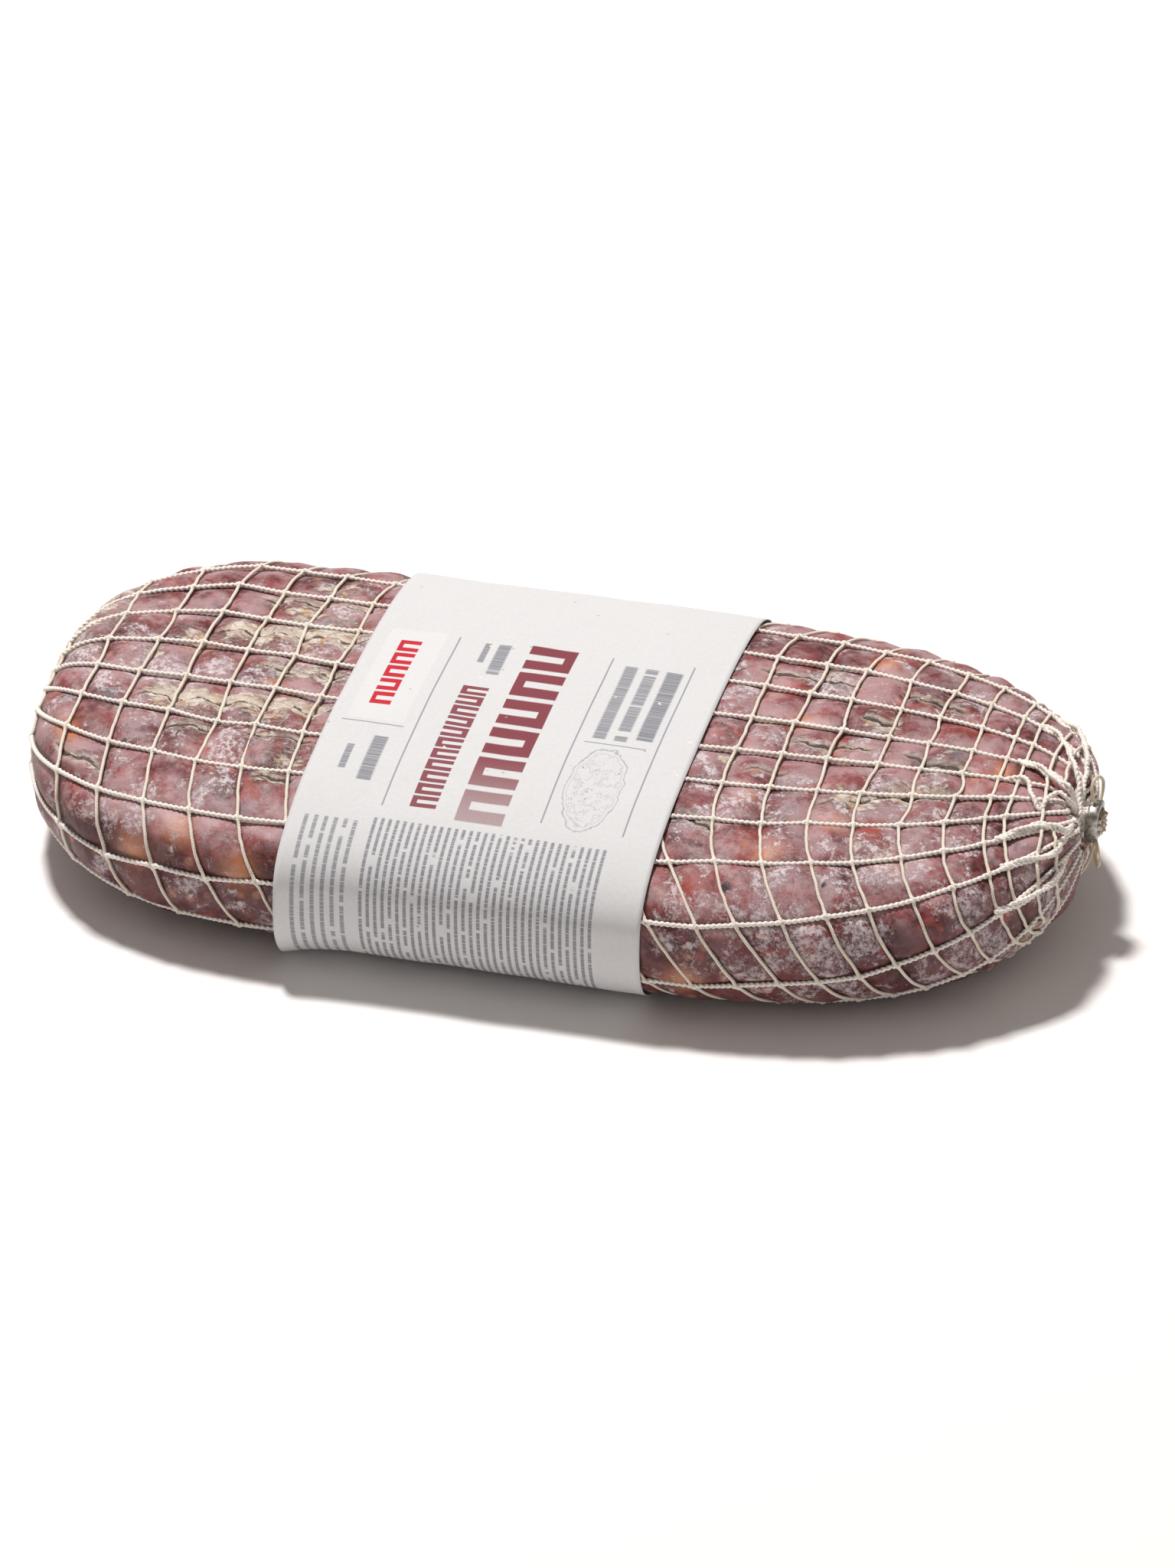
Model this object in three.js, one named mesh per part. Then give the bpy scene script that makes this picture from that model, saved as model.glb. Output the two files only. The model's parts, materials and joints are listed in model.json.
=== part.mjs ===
// A pressed salami in its netting: one flattened sausage in its casing, a knitted string net
// around it, a wide paper band round the middle, and an aluminium clip at each tied end.
// Millimetres, +Z up. X runs along the sausage, with the clipped nose at +X, and Y across it.
import * as THREE from 'three';

// ---------------------------------------------------------------- driving dimensions
const BODY_LENGTH = 322;        // tip to tip, casing only
const BODY_WIDTH = 168;         // across the flat, at the middle
const BODY_HEIGHT = 57;         // before the press flattened the underside
const BODY_TAPER = 0.047;       // how much wider the nose side is, as a share per half length
const EQUATOR = 0.594;          // height of the widest line, as a share of the thickness
const TOP_ROUNDNESS = 2.5;      // superellipse exponent of the upper half of a section
const UNDER_ROUNDNESS = 3.0;    // the same for the lower half
const PRESSED_FLAT = 8.3;       // how much the press and its own weight took off the underside

// Each end closes over its own length, with its own exponent, seen from above and from the side.
const REAR_END = {
  front: { length: 92, power: 2.8 },
  back: { length: 50, power: 1.6 },
  top: { length: 26, power: 3.2 },
  under: { length: 100, power: 2.4 },
  poleY: 8,
  poleZ: 28,
};
const NOSE_END = {
  front: { length: 128, power: 2.3 },
  back: { length: 128, power: 2.3 },
  top: { length: 128, power: 3.2 },
  under: { length: 128, power: 3.2 },
  poleY: 0,
  poleZ: 42,
};

const STRAND_COUNT = 20;        // yarns that run from end to end
const STRAND_WIDTH = 1.2;
const HOOP_COUNT = 23;          // yarns that run round the sausage
const HOOP_WIDTH = 0.9;
const HOOP_START = 4.5;         // from the rear tip to the first hoop
const HOOP_END = 2.24;          // from the last hoop to the nose tip, before they were drawn together
const HOOP_CROWDING = 21;       // the clip drew the last hoops together over about this length
const NET_CLEARANCE = 0.4;      // between casing, end-to-end yarns and hoops
const FIRST_STRAND = 0.06;      // where the first yarn lies, in yarn spacings above the front edge

// The net was pulled on askew. Shares of a full turn round a section, measured from the front edge
// over the top: the yarns rise towards the nose in front, and the hoops trail to the nose underneath.
const YARN_RISE = { middle: 0.007, even: 0.023, atNose: 0.035, reach: 0.33 };
const HOOP_DRAG = { most: 50, underMiddle: 0.745, from: 0.375, to: 0.095 };

const BAND_START = -66;         // paper band, along the sausage
const BAND_WIDTH = 111;
const BAND_THICKNESS = 0.4;
const BAND_CLEARANCE = 0.9;     // the stiff paper stands a little off the hoops

const TIP_DIMPLE = { radius: 13, depth: 5 };  // the tied ends are drawn in
const DIMPLE_FLOOR = 2;         // flat floor of the dimple, beyond the tail's root

const CLIP_LENGTH = 3.4;        // along the tail
const CLIP_WALL = 1.8;
const CLIP_WIDENING = 1.25;     // its wall is thicker across than up
const CLIP_CLEARANCE = 0.3;
const TAIL_ROOT_RADIUS = 4.4;   // gathered casing and net, where it leaves the tip
const TAIL_NECK_RADIUS = 3.0;   // under the clip
const TAIL_FLARE_RADIUS = 4.2;  // beyond the clip
const TAIL_NECK_START = 2.6;    // from the tip to the clip
const TAIL_FLARE_LENGTH = 3.2;

const LOOP_YARN = 0.9;          // loose ends of the net yarn beyond the clip

// ---------------------------------------------------------------- resolution
const COLUMNS = STRAND_COUNT * 2;   // points round a section: every second one is a yarn
const RING_SAMPLES = 720;           // fine samples along which a turn is measured
const BAND_SIDES = 96;

// ---------------------------------------------------------------- derived levels
const STRAND_LEVEL = NET_CLEARANCE + STRAND_WIDTH / 2;
const HOOP_LEVEL = NET_CLEARANCE * 2 + STRAND_WIDTH + HOOP_WIDTH / 2;
const BAND_INNER_LEVEL = HOOP_LEVEL + HOOP_WIDTH / 2 + BAND_CLEARANCE;
const BAND_OUTER_LEVEL = BAND_INNER_LEVEL + BAND_THICKNESS;
const HALF_LENGTH = BODY_LENGTH / 2;

// ---------------------------------------------------------------- the sausage's skin
// 1 along the middle, falling to 0 at a tip, as a superellipse quarter does.
function closing(distanceFromTip, { length, power }) {
  const s = THREE.MathUtils.clamp(1 - distanceFromTip / length, 0, 1);
  return (1 - s ** power) ** (1 / power);
}

function sectionAt(x) {
  const rear = HALF_LENGTH + x;
  const nose = HALF_LENGTH - x;
  const share = (side) => closing(rear, REAR_END[side]) * closing(nose, NOSE_END[side]);
  const along = rear / BODY_LENGTH;
  const poleY = THREE.MathUtils.lerp(REAR_END.poleY, NOSE_END.poleY, along);
  const poleZ = THREE.MathUtils.lerp(REAR_END.poleZ, NOSE_END.poleZ, along);
  const half = (BODY_WIDTH / 2) * (1 + (BODY_TAPER * x) / HALF_LENGTH);
  const low = poleZ * (1 - share('under'));
  const high = poleZ + (BODY_HEIGHT - poleZ) * share('top');
  return {
    centre: poleY,
    front: (half + poleY) * share('front'),
    back: (half - poleY) * share('back'),
    low,
    high,
    equator: THREE.MathUtils.lerp(low, high, EQUATOR),
  };
}

// A point of a section: the angle runs from the front edge, over the top, to the back and under.
function sectionPoint(section, angle) {
  const across = -Math.cos(angle);
  const up = Math.sin(angle);
  const power = 2 / (up >= 0 ? TOP_ROUNDNESS : UNDER_ROUNDNESS);
  const reach = across < 0 ? section.front : section.back;
  const y = section.centre + Math.sign(across) * reach * Math.abs(across) ** power;
  const rise = up >= 0 ? section.high - section.equator : section.equator - section.low;
  const z = section.equator + Math.sign(up) * rise * Math.abs(up) ** power;
  return new THREE.Vector2(y, Math.max(z, PRESSED_FLAT));
}

// A point at a share of the way round a section, measured along the skin from the front edge.
function pointAtTurn(section, turn) {
  const fine = [];
  for (let i = 0; i <= RING_SAMPLES; i += 1) {
    fine.push(sectionPoint(section, (i / RING_SAMPLES) * Math.PI * 2));
  }
  const travelled = [0];
  for (let i = 1; i <= RING_SAMPLES; i += 1) {
    travelled.push(travelled[i - 1] + fine[i].distanceTo(fine[i - 1]));
  }
  const wanted = THREE.MathUtils.euclideanModulo(turn, 1) * travelled[RING_SAMPLES];
  const at = travelled.findIndex((distance) => distance > wanted) - 1;
  const t = (wanted - travelled[at]) / (travelled[at + 1] - travelled[at]);
  return fine[at].clone().lerp(fine[at + 1], t);
}

// How far apart two turns are, and a smooth fall from 1 to 0 as a share goes from 0 to 1.
const turnsApart = (a, b) => Math.abs(THREE.MathUtils.euclideanModulo(a - b + 0.5, 1) - 0.5);
const easeOut = (share) => Math.cos((Math.PI / 2) * THREE.MathUtils.clamp(share, 0, 1)) ** 2;

// The turn at which a column lies at station x.
function columnTurn(x, column) {
  const turn = (column + FIRST_STRAND * 2) / COLUMNS;
  const along = (x + HALF_LENGTH / 8) / HALF_LENGTH;
  const rise = YARN_RISE.middle + YARN_RISE.even * along + YARN_RISE.atNose * along ** 5;
  return turn + rise * easeOut(turnsApart(turn, 0) / YARN_RISE.reach);
}

// How far a column's hoops trail towards the nose.
function drag(x, column) {
  const { most, underMiddle, from, to } = HOOP_DRAG;
  const away = turnsApart((column + FIRST_STRAND * 2) / COLUMNS, underMiddle);
  return most * easeOut((away - to) / (from - to)) * (1 - (x / HALF_LENGTH) ** 2);
}

// Draws a point near a tip in, along the sausage, to the floor of the dimple.
function drawnIn(point) {
  const end = point.x < 0 ? REAR_END : NOSE_END;
  const floor = TAIL_ROOT_RADIUS + DIMPLE_FLOOR;
  const fromPole = Math.hypot(point.y - end.poleY, point.z - end.poleZ);
  const away = Math.max(fromPole - floor, 0) / (TIP_DIMPLE.radius - floor);
  if (Math.abs(point.x) > HALF_LENGTH - TIP_DIMPLE.radius && away < 1) {
    point.x -= Math.sign(point.x) * TIP_DIMPLE.depth * (1 - away ** 2) ** 2;
  }
  return point;
}

// The skin at station x: one point per column, each on the section where the net was drawn to.
function skinRing(x) {
  const ring = [];
  for (let j = 0; j < COLUMNS; j += 1) {
    const drawnX = x + drag(x, j);
    const point = pointAtTurn(sectionAt(drawnX), columnTurn(x, j));
    ring.push(new THREE.Vector3(drawnX, point.x, point.y));
  }
  return ring;
}

// Small rings close the tip: the last station's ring, shrunk towards the tip itself.
const tipPoint = (side, end) => new THREE.Vector3(side * HALF_LENGTH, end.poleY, end.poleZ);
function tipRings(station, side, end) {
  const tip = tipPoint(side, end);
  return TIP_SHRINK.map((share) => skinRing(station).map((point) => {
    const closer = tip.clone().lerp(point, share);
    closer.x = THREE.MathUtils.lerp(tip.x, point.x, share ** 2);
    return closer;
  }));
}

const TIP_STATIONS = [1, 2.6, 5, 9];        // from the nose, closing up towards it
const REAR_STATIONS = [0.8, 2];             // the blunt rear needs fewer
const TIP_SHRINK = [0.18, 0.36, 0.6];
const hoopPitch = (BODY_LENGTH - HOOP_START - HOOP_END) / (HOOP_COUNT - 1);
const hoopStations = Array.from({ length: HOOP_COUNT }, (_, i) => {
  const toNose = BODY_LENGTH - HOOP_START - i * hoopPitch;
  return HALF_LENGTH - Math.hypot(toNose, HOOP_CROWDING);
});
const rearStations = REAR_STATIONS.map((d) => d - HALF_LENGTH);
const noseStations = TIP_STATIONS.map((d) => HALF_LENGTH - d).reverse();
const stations = [...rearStations, ...hoopStations, ...noseStations];
const rings = [
  ...tipRings(rearStations[0], -1, REAR_END),
  ...stations.map(skinRing),
  ...tipRings(noseStations[noseStations.length - 1], 1, NOSE_END).reverse(),
].map((ring) => ring.map(drawnIn));
const firstHoopRing = TIP_SHRINK.length + REAR_STATIONS.length;

// Outward normals of the grid, from its neighbours.
const normals = rings.map((ring, i) => ring.map((point, j) => {
  const before = rings[Math.max(i - 1, 0)][j];
  const after = rings[Math.min(i + 1, rings.length - 1)][j];
  const left = ring[(j + COLUMNS - 1) % COLUMNS];
  const right = ring[(j + 1) % COLUMNS];
  const along = after.clone().sub(before);
  const around = right.clone().sub(left);
  const normal = along.cross(around).normalize();
  return point.z < PRESSED_FLAT + 1e-6 ? new THREE.Vector3(0, 0, -1) : normal;
}));

function lifted(i, j, level) {
  return rings[i][j].clone().addScaledVector(normals[i][j], level);
}

// ---------------------------------------------------------------- mesh helpers
// Closed solid from rows of points that go round, with a fan over each end row.
function solidFromRows(rows, closeRows = false) {
  const around = rows[0].length;
  const points = rows.flat();
  const faces = [];
  const rowPairs = closeRows ? rows.length : rows.length - 1;
  for (let i = 0; i < rowPairs; i += 1) {
    const next = (i + 1) % rows.length;
    for (let j = 0; j < around; j += 1) {
      const k = (j + 1) % around;
      faces.push(i * around + j, next * around + j, next * around + k);
      faces.push(i * around + j, next * around + k, i * around + k);
    }
  }
  if (!closeRows) {
    const middle = (row) => row.reduce((sum, p) => sum.add(p), new THREE.Vector3()).divideScalar(around);
    const first = points.push(middle(rows[0])) - 1;
    const last = points.push(middle(rows[rows.length - 1])) - 1;
    const end = (rows.length - 1) * around;
    for (let j = 0; j < around; j += 1) {
      const k = (j + 1) % around;
      faces.push(first, j, k);
      faces.push(last, end + k, end + j);
    }
  }
  const geometry = new THREE.BufferGeometry();
  geometry.setAttribute('position', new THREE.Float32BufferAttribute(points.flatMap((p) => p.toArray()), 3));
  geometry.setIndex(faces);
  geometry.computeVertexNormals();
  return geometry;
}

// Yarn sections, one yarn wide, with a flat side on the skin.
const SQUARE = [[-0.5, -0.5], [-0.5, 0.5], [0.5, 0.5], [0.5, -0.5]];
const TRIANGLE = [[-0.5, -0.5], [0, 0.5], [0.5, -0.5]];

// A yarn through a row of points, with the skin's normal at each of them.
function yarn(path, ups, shape, width, closed) {
  const count = path.length;
  const rows = path.map((point, i) => {
    const before = closed ? path[(i + count - 1) % count] : path[Math.max(i - 1, 0)];
    const after = closed ? path[(i + 1) % count] : path[Math.min(i + 1, count - 1)];
    const along = after.clone().sub(before).normalize();
    const side = ups[i].clone().cross(along).normalize();
    const up = along.clone().cross(side).normalize();
    return shape.map(([u, v]) => point.clone().addScaledVector(side, u * width).addScaledVector(up, v * width));
  });
  return solidFromRows(rows, closed);
}

// ---------------------------------------------------------------- materials
const finish = (color, roughness, metalness = 0) =>
  new THREE.MeshStandardMaterial({ color, roughness, metalness });
const SALAMI = finish(0x84505a, 0.6);
const YARN = finish(0xe6dccf, 0.9);
const PAPER = finish(0xe4e0de, 0.8);
const ALUMINIUM = finish(0x8e8c84, 0.4, 1);
const CASING = finish(0xc9b48a, 0.7);

const part = new THREE.Group();
function add(name, geometry, material) {
  const mesh = new THREE.Mesh(geometry, material);
  mesh.name = name;
  part.add(mesh);
  return mesh;
}
const numbered = (name, index) => `${name}_${String(index + 1).padStart(2, '0')}`;

// ---------------------------------------------------------------- the sausage
add('salami', solidFromRows(rings), SALAMI);

// ---------------------------------------------------------------- the net
// An end-to-end yarn stops at the rim of the dimple, or where it would touch its neighbours.
const strandRoom = STRAND_WIDTH * 2 + NET_CLEARANCE;
function strandFits(i, j) {
  const onTip = i < TIP_SHRINK.length || i >= rings.length - TIP_SHRINK.length;
  const at = lifted(i, j, STRAND_LEVEL);
  const end = at.x < 0 ? REAR_END : NOSE_END;
  const beside = [j + 2, j + COLUMNS - 2].map((other) => lifted(i, other % COLUMNS, STRAND_LEVEL));
  const inDimple = Math.abs(at.x) > BODY_LENGTH / 2 - TIP_DIMPLE.radius
    && Math.hypot(at.y - end.poleY, at.z - end.poleZ) < TIP_DIMPLE.radius;
  return !onTip && !inDimple && beside.every((other) => at.distanceTo(other) > strandRoom);
}
for (let s = 0; s < STRAND_COUNT; s += 1) {
  const j = s * 2;
  const path = [];
  const ups = [];
  rings.forEach((_, i) => {
    if (strandFits(i, j)) {
      path.push(lifted(i, j, STRAND_LEVEL));
      ups.push(normals[i][j]);
    }
  });
  add(numbered('net_strand', s), yarn(path, ups, SQUARE, STRAND_WIDTH, false), YARN);
}
hoopStations.forEach((_, h) => {
  const i = firstHoopRing + h;
  const path = rings[i].map((point, j) => lifted(i, j, HOOP_LEVEL));
  add(numbered('net_hoop', h), yarn(path, normals[i], TRIANGLE, HOOP_WIDTH, true), YARN);
});

// ---------------------------------------------------------------- the paper band
// One glued sleeve of constant section, as wide as the thickest part of the net under it.
function bandOutline(level) {
  const reach = { centre: 0, front: 0, back: 0, low: 0, high: BODY_HEIGHT, equator: BODY_HEIGHT * EQUATOR };
  for (let x = BAND_START; x <= BAND_START + BAND_WIDTH; x += BAND_WIDTH / 8) {
    const section = sectionAt(x);
    reach.front = Math.max(reach.front, section.front - section.centre);
    reach.back = Math.max(reach.back, section.back + section.centre);
  }
  const inner = Array.from({ length: BAND_SIDES }, (_, j) => pointAtTurn(reach, j / BAND_SIDES));
  return inner.map((point, j) => {
    const before = inner[(j + BAND_SIDES - 1) % BAND_SIDES];
    const after = inner[(j + 1) % BAND_SIDES];
    const flat = point.y < PRESSED_FLAT + 1e-6;
    const out = flat
      ? new THREE.Vector2(0, -1)
      : new THREE.Vector2(-(after.y - before.y), after.x - before.x).normalize();
    return point.clone().addScaledVector(out, level);
  });
}
function sleeve(x0, x1, innerLevel, outerLevel) {
  const inner = bandOutline(innerLevel);
  const outer = bandOutline(outerLevel);
  const row = (outline, x) => outline.map((p) => new THREE.Vector3(x, p.x, p.y));
  const corners = [row(inner, x0), row(inner, x1), row(outer, x1), row(outer, x0)];
  const rows = inner.map((_, j) => corners.map((corner) => corner[j]));
  return solidFromRows(rows, true);
}
add('paper_band', sleeve(BAND_START, BAND_START + BAND_WIDTH, BAND_INNER_LEVEL, BAND_OUTER_LEVEL), PAPER);

// ---------------------------------------------------------------- tied ends
const TAIL_SIDES = 14;
function tailGeometry() {
  const flareStart = TAIL_NECK_START + CLIP_LENGTH;
  const profile = [
    [0, 0], [TAIL_ROOT_RADIUS, 0], [TAIL_NECK_RADIUS, TAIL_NECK_START - CLIP_CLEARANCE],
    [TAIL_NECK_RADIUS, flareStart + CLIP_CLEARANCE],
    [TAIL_FLARE_RADIUS, flareStart + TAIL_FLARE_LENGTH],
    [0, flareStart + TAIL_FLARE_LENGTH],
  ];
  return new THREE.LatheGeometry(profile.map(([r, h]) => new THREE.Vector2(r, h)), TAIL_SIDES);
}
// The clip is a wire staple pressed round the tail: a rounded ring, wider than it is high.
function clipGeometry() {
  const bore = TAIL_NECK_RADIUS + CLIP_CLEARANCE;
  const ring = new THREE.Shape();
  ring.absellipse(0, 0, bore + CLIP_WALL * CLIP_WIDENING, bore + CLIP_WALL, 0, Math.PI * 2);
  const hole = new THREE.Path();
  hole.absellipse(0, 0, bore, bore, 0, Math.PI * 2);
  ring.holes.push(hole);
  const options = { depth: CLIP_LENGTH, bevelEnabled: false, curveSegments: 12 };
  const geometry = new THREE.ExtrudeGeometry(ring, options);
  return geometry.rotateX(-Math.PI / 2);
}
// Both pieces are made along +Y from the tip, then turned to point along the tail's direction.
function tiedEnd(name, tip, direction) {
  const holder = new THREE.Group();
  holder.position.copy(tip).addScaledVector(direction, NET_CLEARANCE - TIP_DIMPLE.depth);
  holder.quaternion.setFromUnitVectors(new THREE.Vector3(0, 1, 0), direction);
  part.add(holder);
  const tail = new THREE.Mesh(tailGeometry(), CASING);
  tail.name = `${name}_tail`;
  const clip = new THREE.Mesh(clipGeometry(), ALUMINIUM);
  clip.name = `${name}_clip`;
  clip.position.y = TAIL_NECK_START;
  holder.add(tail, clip);
  return holder;
}
const noseTip = tipPoint(1, NOSE_END);
const rearTip = tipPoint(-1, REAR_END);
tiedEnd('front', noseTip, new THREE.Vector3(1, 0, 0));
tiedEnd('rear', rearTip, new THREE.Vector3(-1, 0, 0));

// ---------------------------------------------------------------- loose loops of yarn
// Each loop leaves the front tail just past the clip and comes back to it.
const LOOPS = [
  { turn: 78, reach: 11, spread: 5, lean: 1 },
  { turn: -70, reach: 13, spread: 6, lean: 3 },
  { turn: -112, reach: 12, spread: 4, lean: -1.5 },
];
function loopGeometry({ turn, reach, spread, lean }) {
  const angle = THREE.MathUtils.degToRad(turn);
  const out = new THREE.Vector3(0, -Math.cos(angle), Math.sin(angle));
  const side = new THREE.Vector3(0.35, Math.sin(angle), Math.cos(angle)).normalize();
  const neckEnd = TAIL_NECK_START + CLIP_LENGTH;
  const rootX = NET_CLEARANCE - TIP_DIMPLE.depth + neckEnd + TAIL_FLARE_LENGTH / 2 + LOOP_YARN;
  const start = TAIL_FLARE_RADIUS + NET_CLEARANCE + LOOP_YARN / 2;
  const at = (distance, sideways, forward) => noseTip.clone()
    .addScaledVector(out, distance)
    .addScaledVector(side, sideways)
    .add(new THREE.Vector3(rootX + forward, 0, 0));
  const path = new THREE.CatmullRomCurve3([
    at(start, -LOOP_YARN, 0),
    at(start + reach * 0.5, -spread / 2, lean / 2),
    at(start + reach * 0.9, -spread / 3, lean),
    at(start + reach * 0.9, spread / 3, lean),
    at(start + reach * 0.5, spread / 2, lean / 2),
    at(start, LOOP_YARN, 0),
  ]);
  const section = new THREE.Shape();
  section.absarc(0, 0, LOOP_YARN / 2, 0, Math.PI * 2);
  return new THREE.ExtrudeGeometry(section, { steps: 16, extrudePath: path, curveSegments: 3 });
}
LOOPS.forEach((loop, i) => add(numbered('thread_loop', i), loopGeometry(loop), YARN));

// ---------------------------------------------------------------- stand it on its underside, centred
part.updateMatrixWorld(true);
const box = new THREE.Box3().setFromObject(part, true);
const centre = box.getCenter(new THREE.Vector3());
part.position.set(-centre.x, -centre.y, -box.min.z);
part.updateMatrixWorld(true);

export default part;
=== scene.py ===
# %% [markdown]
# # A pressed, netted salami with a paper band
#
# One salami, squeezed flat while it cured, inside a knitted net that is drawn together by a metal clip at the
# nose. A printed paper band goes round its middle. The frame from the pack gives the sizes; everything that
# shows is built here, in millimetres on the skin of the sausage and then turned into metres.

import json
import math

import bpy
import numpy as np
from mathutils import Vector, noise
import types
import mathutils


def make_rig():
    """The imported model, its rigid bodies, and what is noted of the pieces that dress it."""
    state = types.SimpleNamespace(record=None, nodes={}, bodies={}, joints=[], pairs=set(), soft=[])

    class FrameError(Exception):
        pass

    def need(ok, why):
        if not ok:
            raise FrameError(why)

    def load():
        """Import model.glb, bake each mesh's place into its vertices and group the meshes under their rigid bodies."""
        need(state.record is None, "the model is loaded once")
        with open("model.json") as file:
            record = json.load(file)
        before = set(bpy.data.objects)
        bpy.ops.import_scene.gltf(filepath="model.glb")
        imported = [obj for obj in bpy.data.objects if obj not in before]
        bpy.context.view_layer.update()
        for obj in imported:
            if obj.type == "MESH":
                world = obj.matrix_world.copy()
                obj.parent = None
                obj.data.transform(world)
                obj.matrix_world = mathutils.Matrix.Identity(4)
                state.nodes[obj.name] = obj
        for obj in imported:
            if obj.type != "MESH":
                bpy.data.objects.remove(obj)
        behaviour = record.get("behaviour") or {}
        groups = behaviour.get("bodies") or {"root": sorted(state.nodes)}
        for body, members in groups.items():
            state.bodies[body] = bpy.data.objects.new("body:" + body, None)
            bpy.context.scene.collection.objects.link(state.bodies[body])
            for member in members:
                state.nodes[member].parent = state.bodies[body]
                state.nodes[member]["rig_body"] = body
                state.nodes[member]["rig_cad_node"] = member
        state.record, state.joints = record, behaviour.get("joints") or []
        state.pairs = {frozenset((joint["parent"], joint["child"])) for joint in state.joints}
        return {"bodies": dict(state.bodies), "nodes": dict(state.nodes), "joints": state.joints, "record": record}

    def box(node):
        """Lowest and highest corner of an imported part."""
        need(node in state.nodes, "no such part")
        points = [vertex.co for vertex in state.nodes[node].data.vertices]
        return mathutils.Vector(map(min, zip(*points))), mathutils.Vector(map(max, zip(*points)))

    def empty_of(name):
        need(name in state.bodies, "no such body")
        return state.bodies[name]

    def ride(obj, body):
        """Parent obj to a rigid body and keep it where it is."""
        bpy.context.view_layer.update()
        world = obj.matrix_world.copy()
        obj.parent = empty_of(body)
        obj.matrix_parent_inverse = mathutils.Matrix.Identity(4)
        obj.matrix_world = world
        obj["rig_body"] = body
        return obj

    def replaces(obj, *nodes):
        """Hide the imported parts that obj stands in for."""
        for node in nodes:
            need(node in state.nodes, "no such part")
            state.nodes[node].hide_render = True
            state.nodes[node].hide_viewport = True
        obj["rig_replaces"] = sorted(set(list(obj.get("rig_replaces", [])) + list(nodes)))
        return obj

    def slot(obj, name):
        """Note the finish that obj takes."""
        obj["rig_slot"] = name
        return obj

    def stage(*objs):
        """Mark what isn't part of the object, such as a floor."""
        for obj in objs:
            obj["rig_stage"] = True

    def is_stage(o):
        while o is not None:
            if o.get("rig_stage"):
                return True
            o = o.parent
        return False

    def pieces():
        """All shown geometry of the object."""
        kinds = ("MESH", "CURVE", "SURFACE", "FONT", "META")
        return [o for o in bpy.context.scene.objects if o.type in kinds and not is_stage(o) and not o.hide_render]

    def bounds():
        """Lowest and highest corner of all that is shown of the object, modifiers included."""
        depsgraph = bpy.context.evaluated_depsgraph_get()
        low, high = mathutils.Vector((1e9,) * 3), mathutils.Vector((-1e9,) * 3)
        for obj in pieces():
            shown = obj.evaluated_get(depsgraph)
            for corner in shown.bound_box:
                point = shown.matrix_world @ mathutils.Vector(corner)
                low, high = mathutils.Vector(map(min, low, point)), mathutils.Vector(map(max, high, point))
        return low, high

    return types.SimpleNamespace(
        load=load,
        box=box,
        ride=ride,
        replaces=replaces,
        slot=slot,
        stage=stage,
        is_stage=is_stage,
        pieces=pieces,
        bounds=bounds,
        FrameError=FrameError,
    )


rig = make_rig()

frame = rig.load()
MM = 0.001
lowest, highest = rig.bounds()
with open("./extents.json", "w") as f:
    json.dump({"frame": [list(lowest), list(highest)]}, f)
print("frame nodes", len(frame["nodes"]))

# %% [markdown]
# ## Camera
# A long lens, a little above and to the right of the front, so that the sausage lies across the frame.
# The position is the middle of the sausage, moved back along the line of sight and a little to the side.

# %% Camera
AZIMUTH, ELEVATION, DISTANCE = math.radians(14.30), math.radians(32.57), 2.464
back = Vector((
    math.sin(AZIMUTH) * math.cos(ELEVATION),
    -math.cos(AZIMUTH) * math.cos(ELEVATION),
    math.sin(ELEVATION),
))
right = Vector((math.cos(AZIMUTH), math.sin(AZIMUTH), 0))
up = back.cross(right)
camera_data = bpy.data.cameras.new("camera")
camera_data.sensor_width = 36
camera_data.sensor_fit = "AUTO"
camera_data.lens = 187.34
camera_data.clip_end = 20
camera = bpy.data.objects.new("camera", camera_data)
camera.location = Vector((0, 0, 0.0245)) + right * 0.00542 + up * 0.00052 + back * DISTANCE
camera.rotation_euler = back.to_track_quat("Z", "Y").to_euler()
bpy.context.collection.objects.link(camera)
bpy.context.scene.camera = camera

# %% [markdown]
# ## Materials
# One helper adds a node, sets its constant sockets and links the rest. Colours are given as screen colours
# and turned into linear light in one place.

# %% Material helpers
def colour(text):
    """A screen colour such as 7A3F45 as linear red, green, blue, alpha."""
    parts = [int(text[i : i + 2], 16) / 255 for i in (0, 2, 4)]
    return [p / 12.92 if p <= 0.04045 else ((p + 0.055) / 1.055) ** 2.4 for p in parts] + [1.0]


def add(tree, kind, inputs=None, **settings):
    """Adds a node. Inputs are constants or output sockets, by socket name or number."""
    node = tree.nodes.new(kind)
    for name, value in settings.items():
        setattr(node, name, value)
    for name, value in (inputs or {}).items():
        if isinstance(value, bpy.types.NodeSocket):
            tree.links.new(value, node.inputs[name])
        else:
            node.inputs[name].default_value = value
    return node


def mix(tree, factor, a, b, blend="MIX"):
    """Mixes two colours and returns the colour socket."""
    node = add(tree, "ShaderNodeMix", data_type="RGBA", blend_type=blend)
    for number, value in ((0, factor), (6, a), (7, b)):
        if isinstance(value, bpy.types.NodeSocket):
            tree.links.new(value, node.inputs[number])
        else:
            node.inputs[number].default_value = value
    return node.outputs[2]


def ramp(tree, value, low, high, to_low=0.0, to_high=1.0):
    """A smooth step from low to high."""
    node = add(
        tree,
        "ShaderNodeMapRange",
        {"Value": value, "From Min": low, "From Max": high, "To Min": to_low, "To Max": to_high},
        interpolation_type="SMOOTHSTEP",
    )
    return node.outputs["Result"]


def maths(tree, operation, a, b=0.0):
    node = add(tree, "ShaderNodeMath", {0: a, 1: b}, operation=operation)
    return node.outputs[0]

# %% [markdown]
# Patterns are made in metres of object space, so a scale is a number of patches to the metre. Each material
# starts from one empty Principled surface, and reads what the mesh knows about itself from its attributes.

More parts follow.
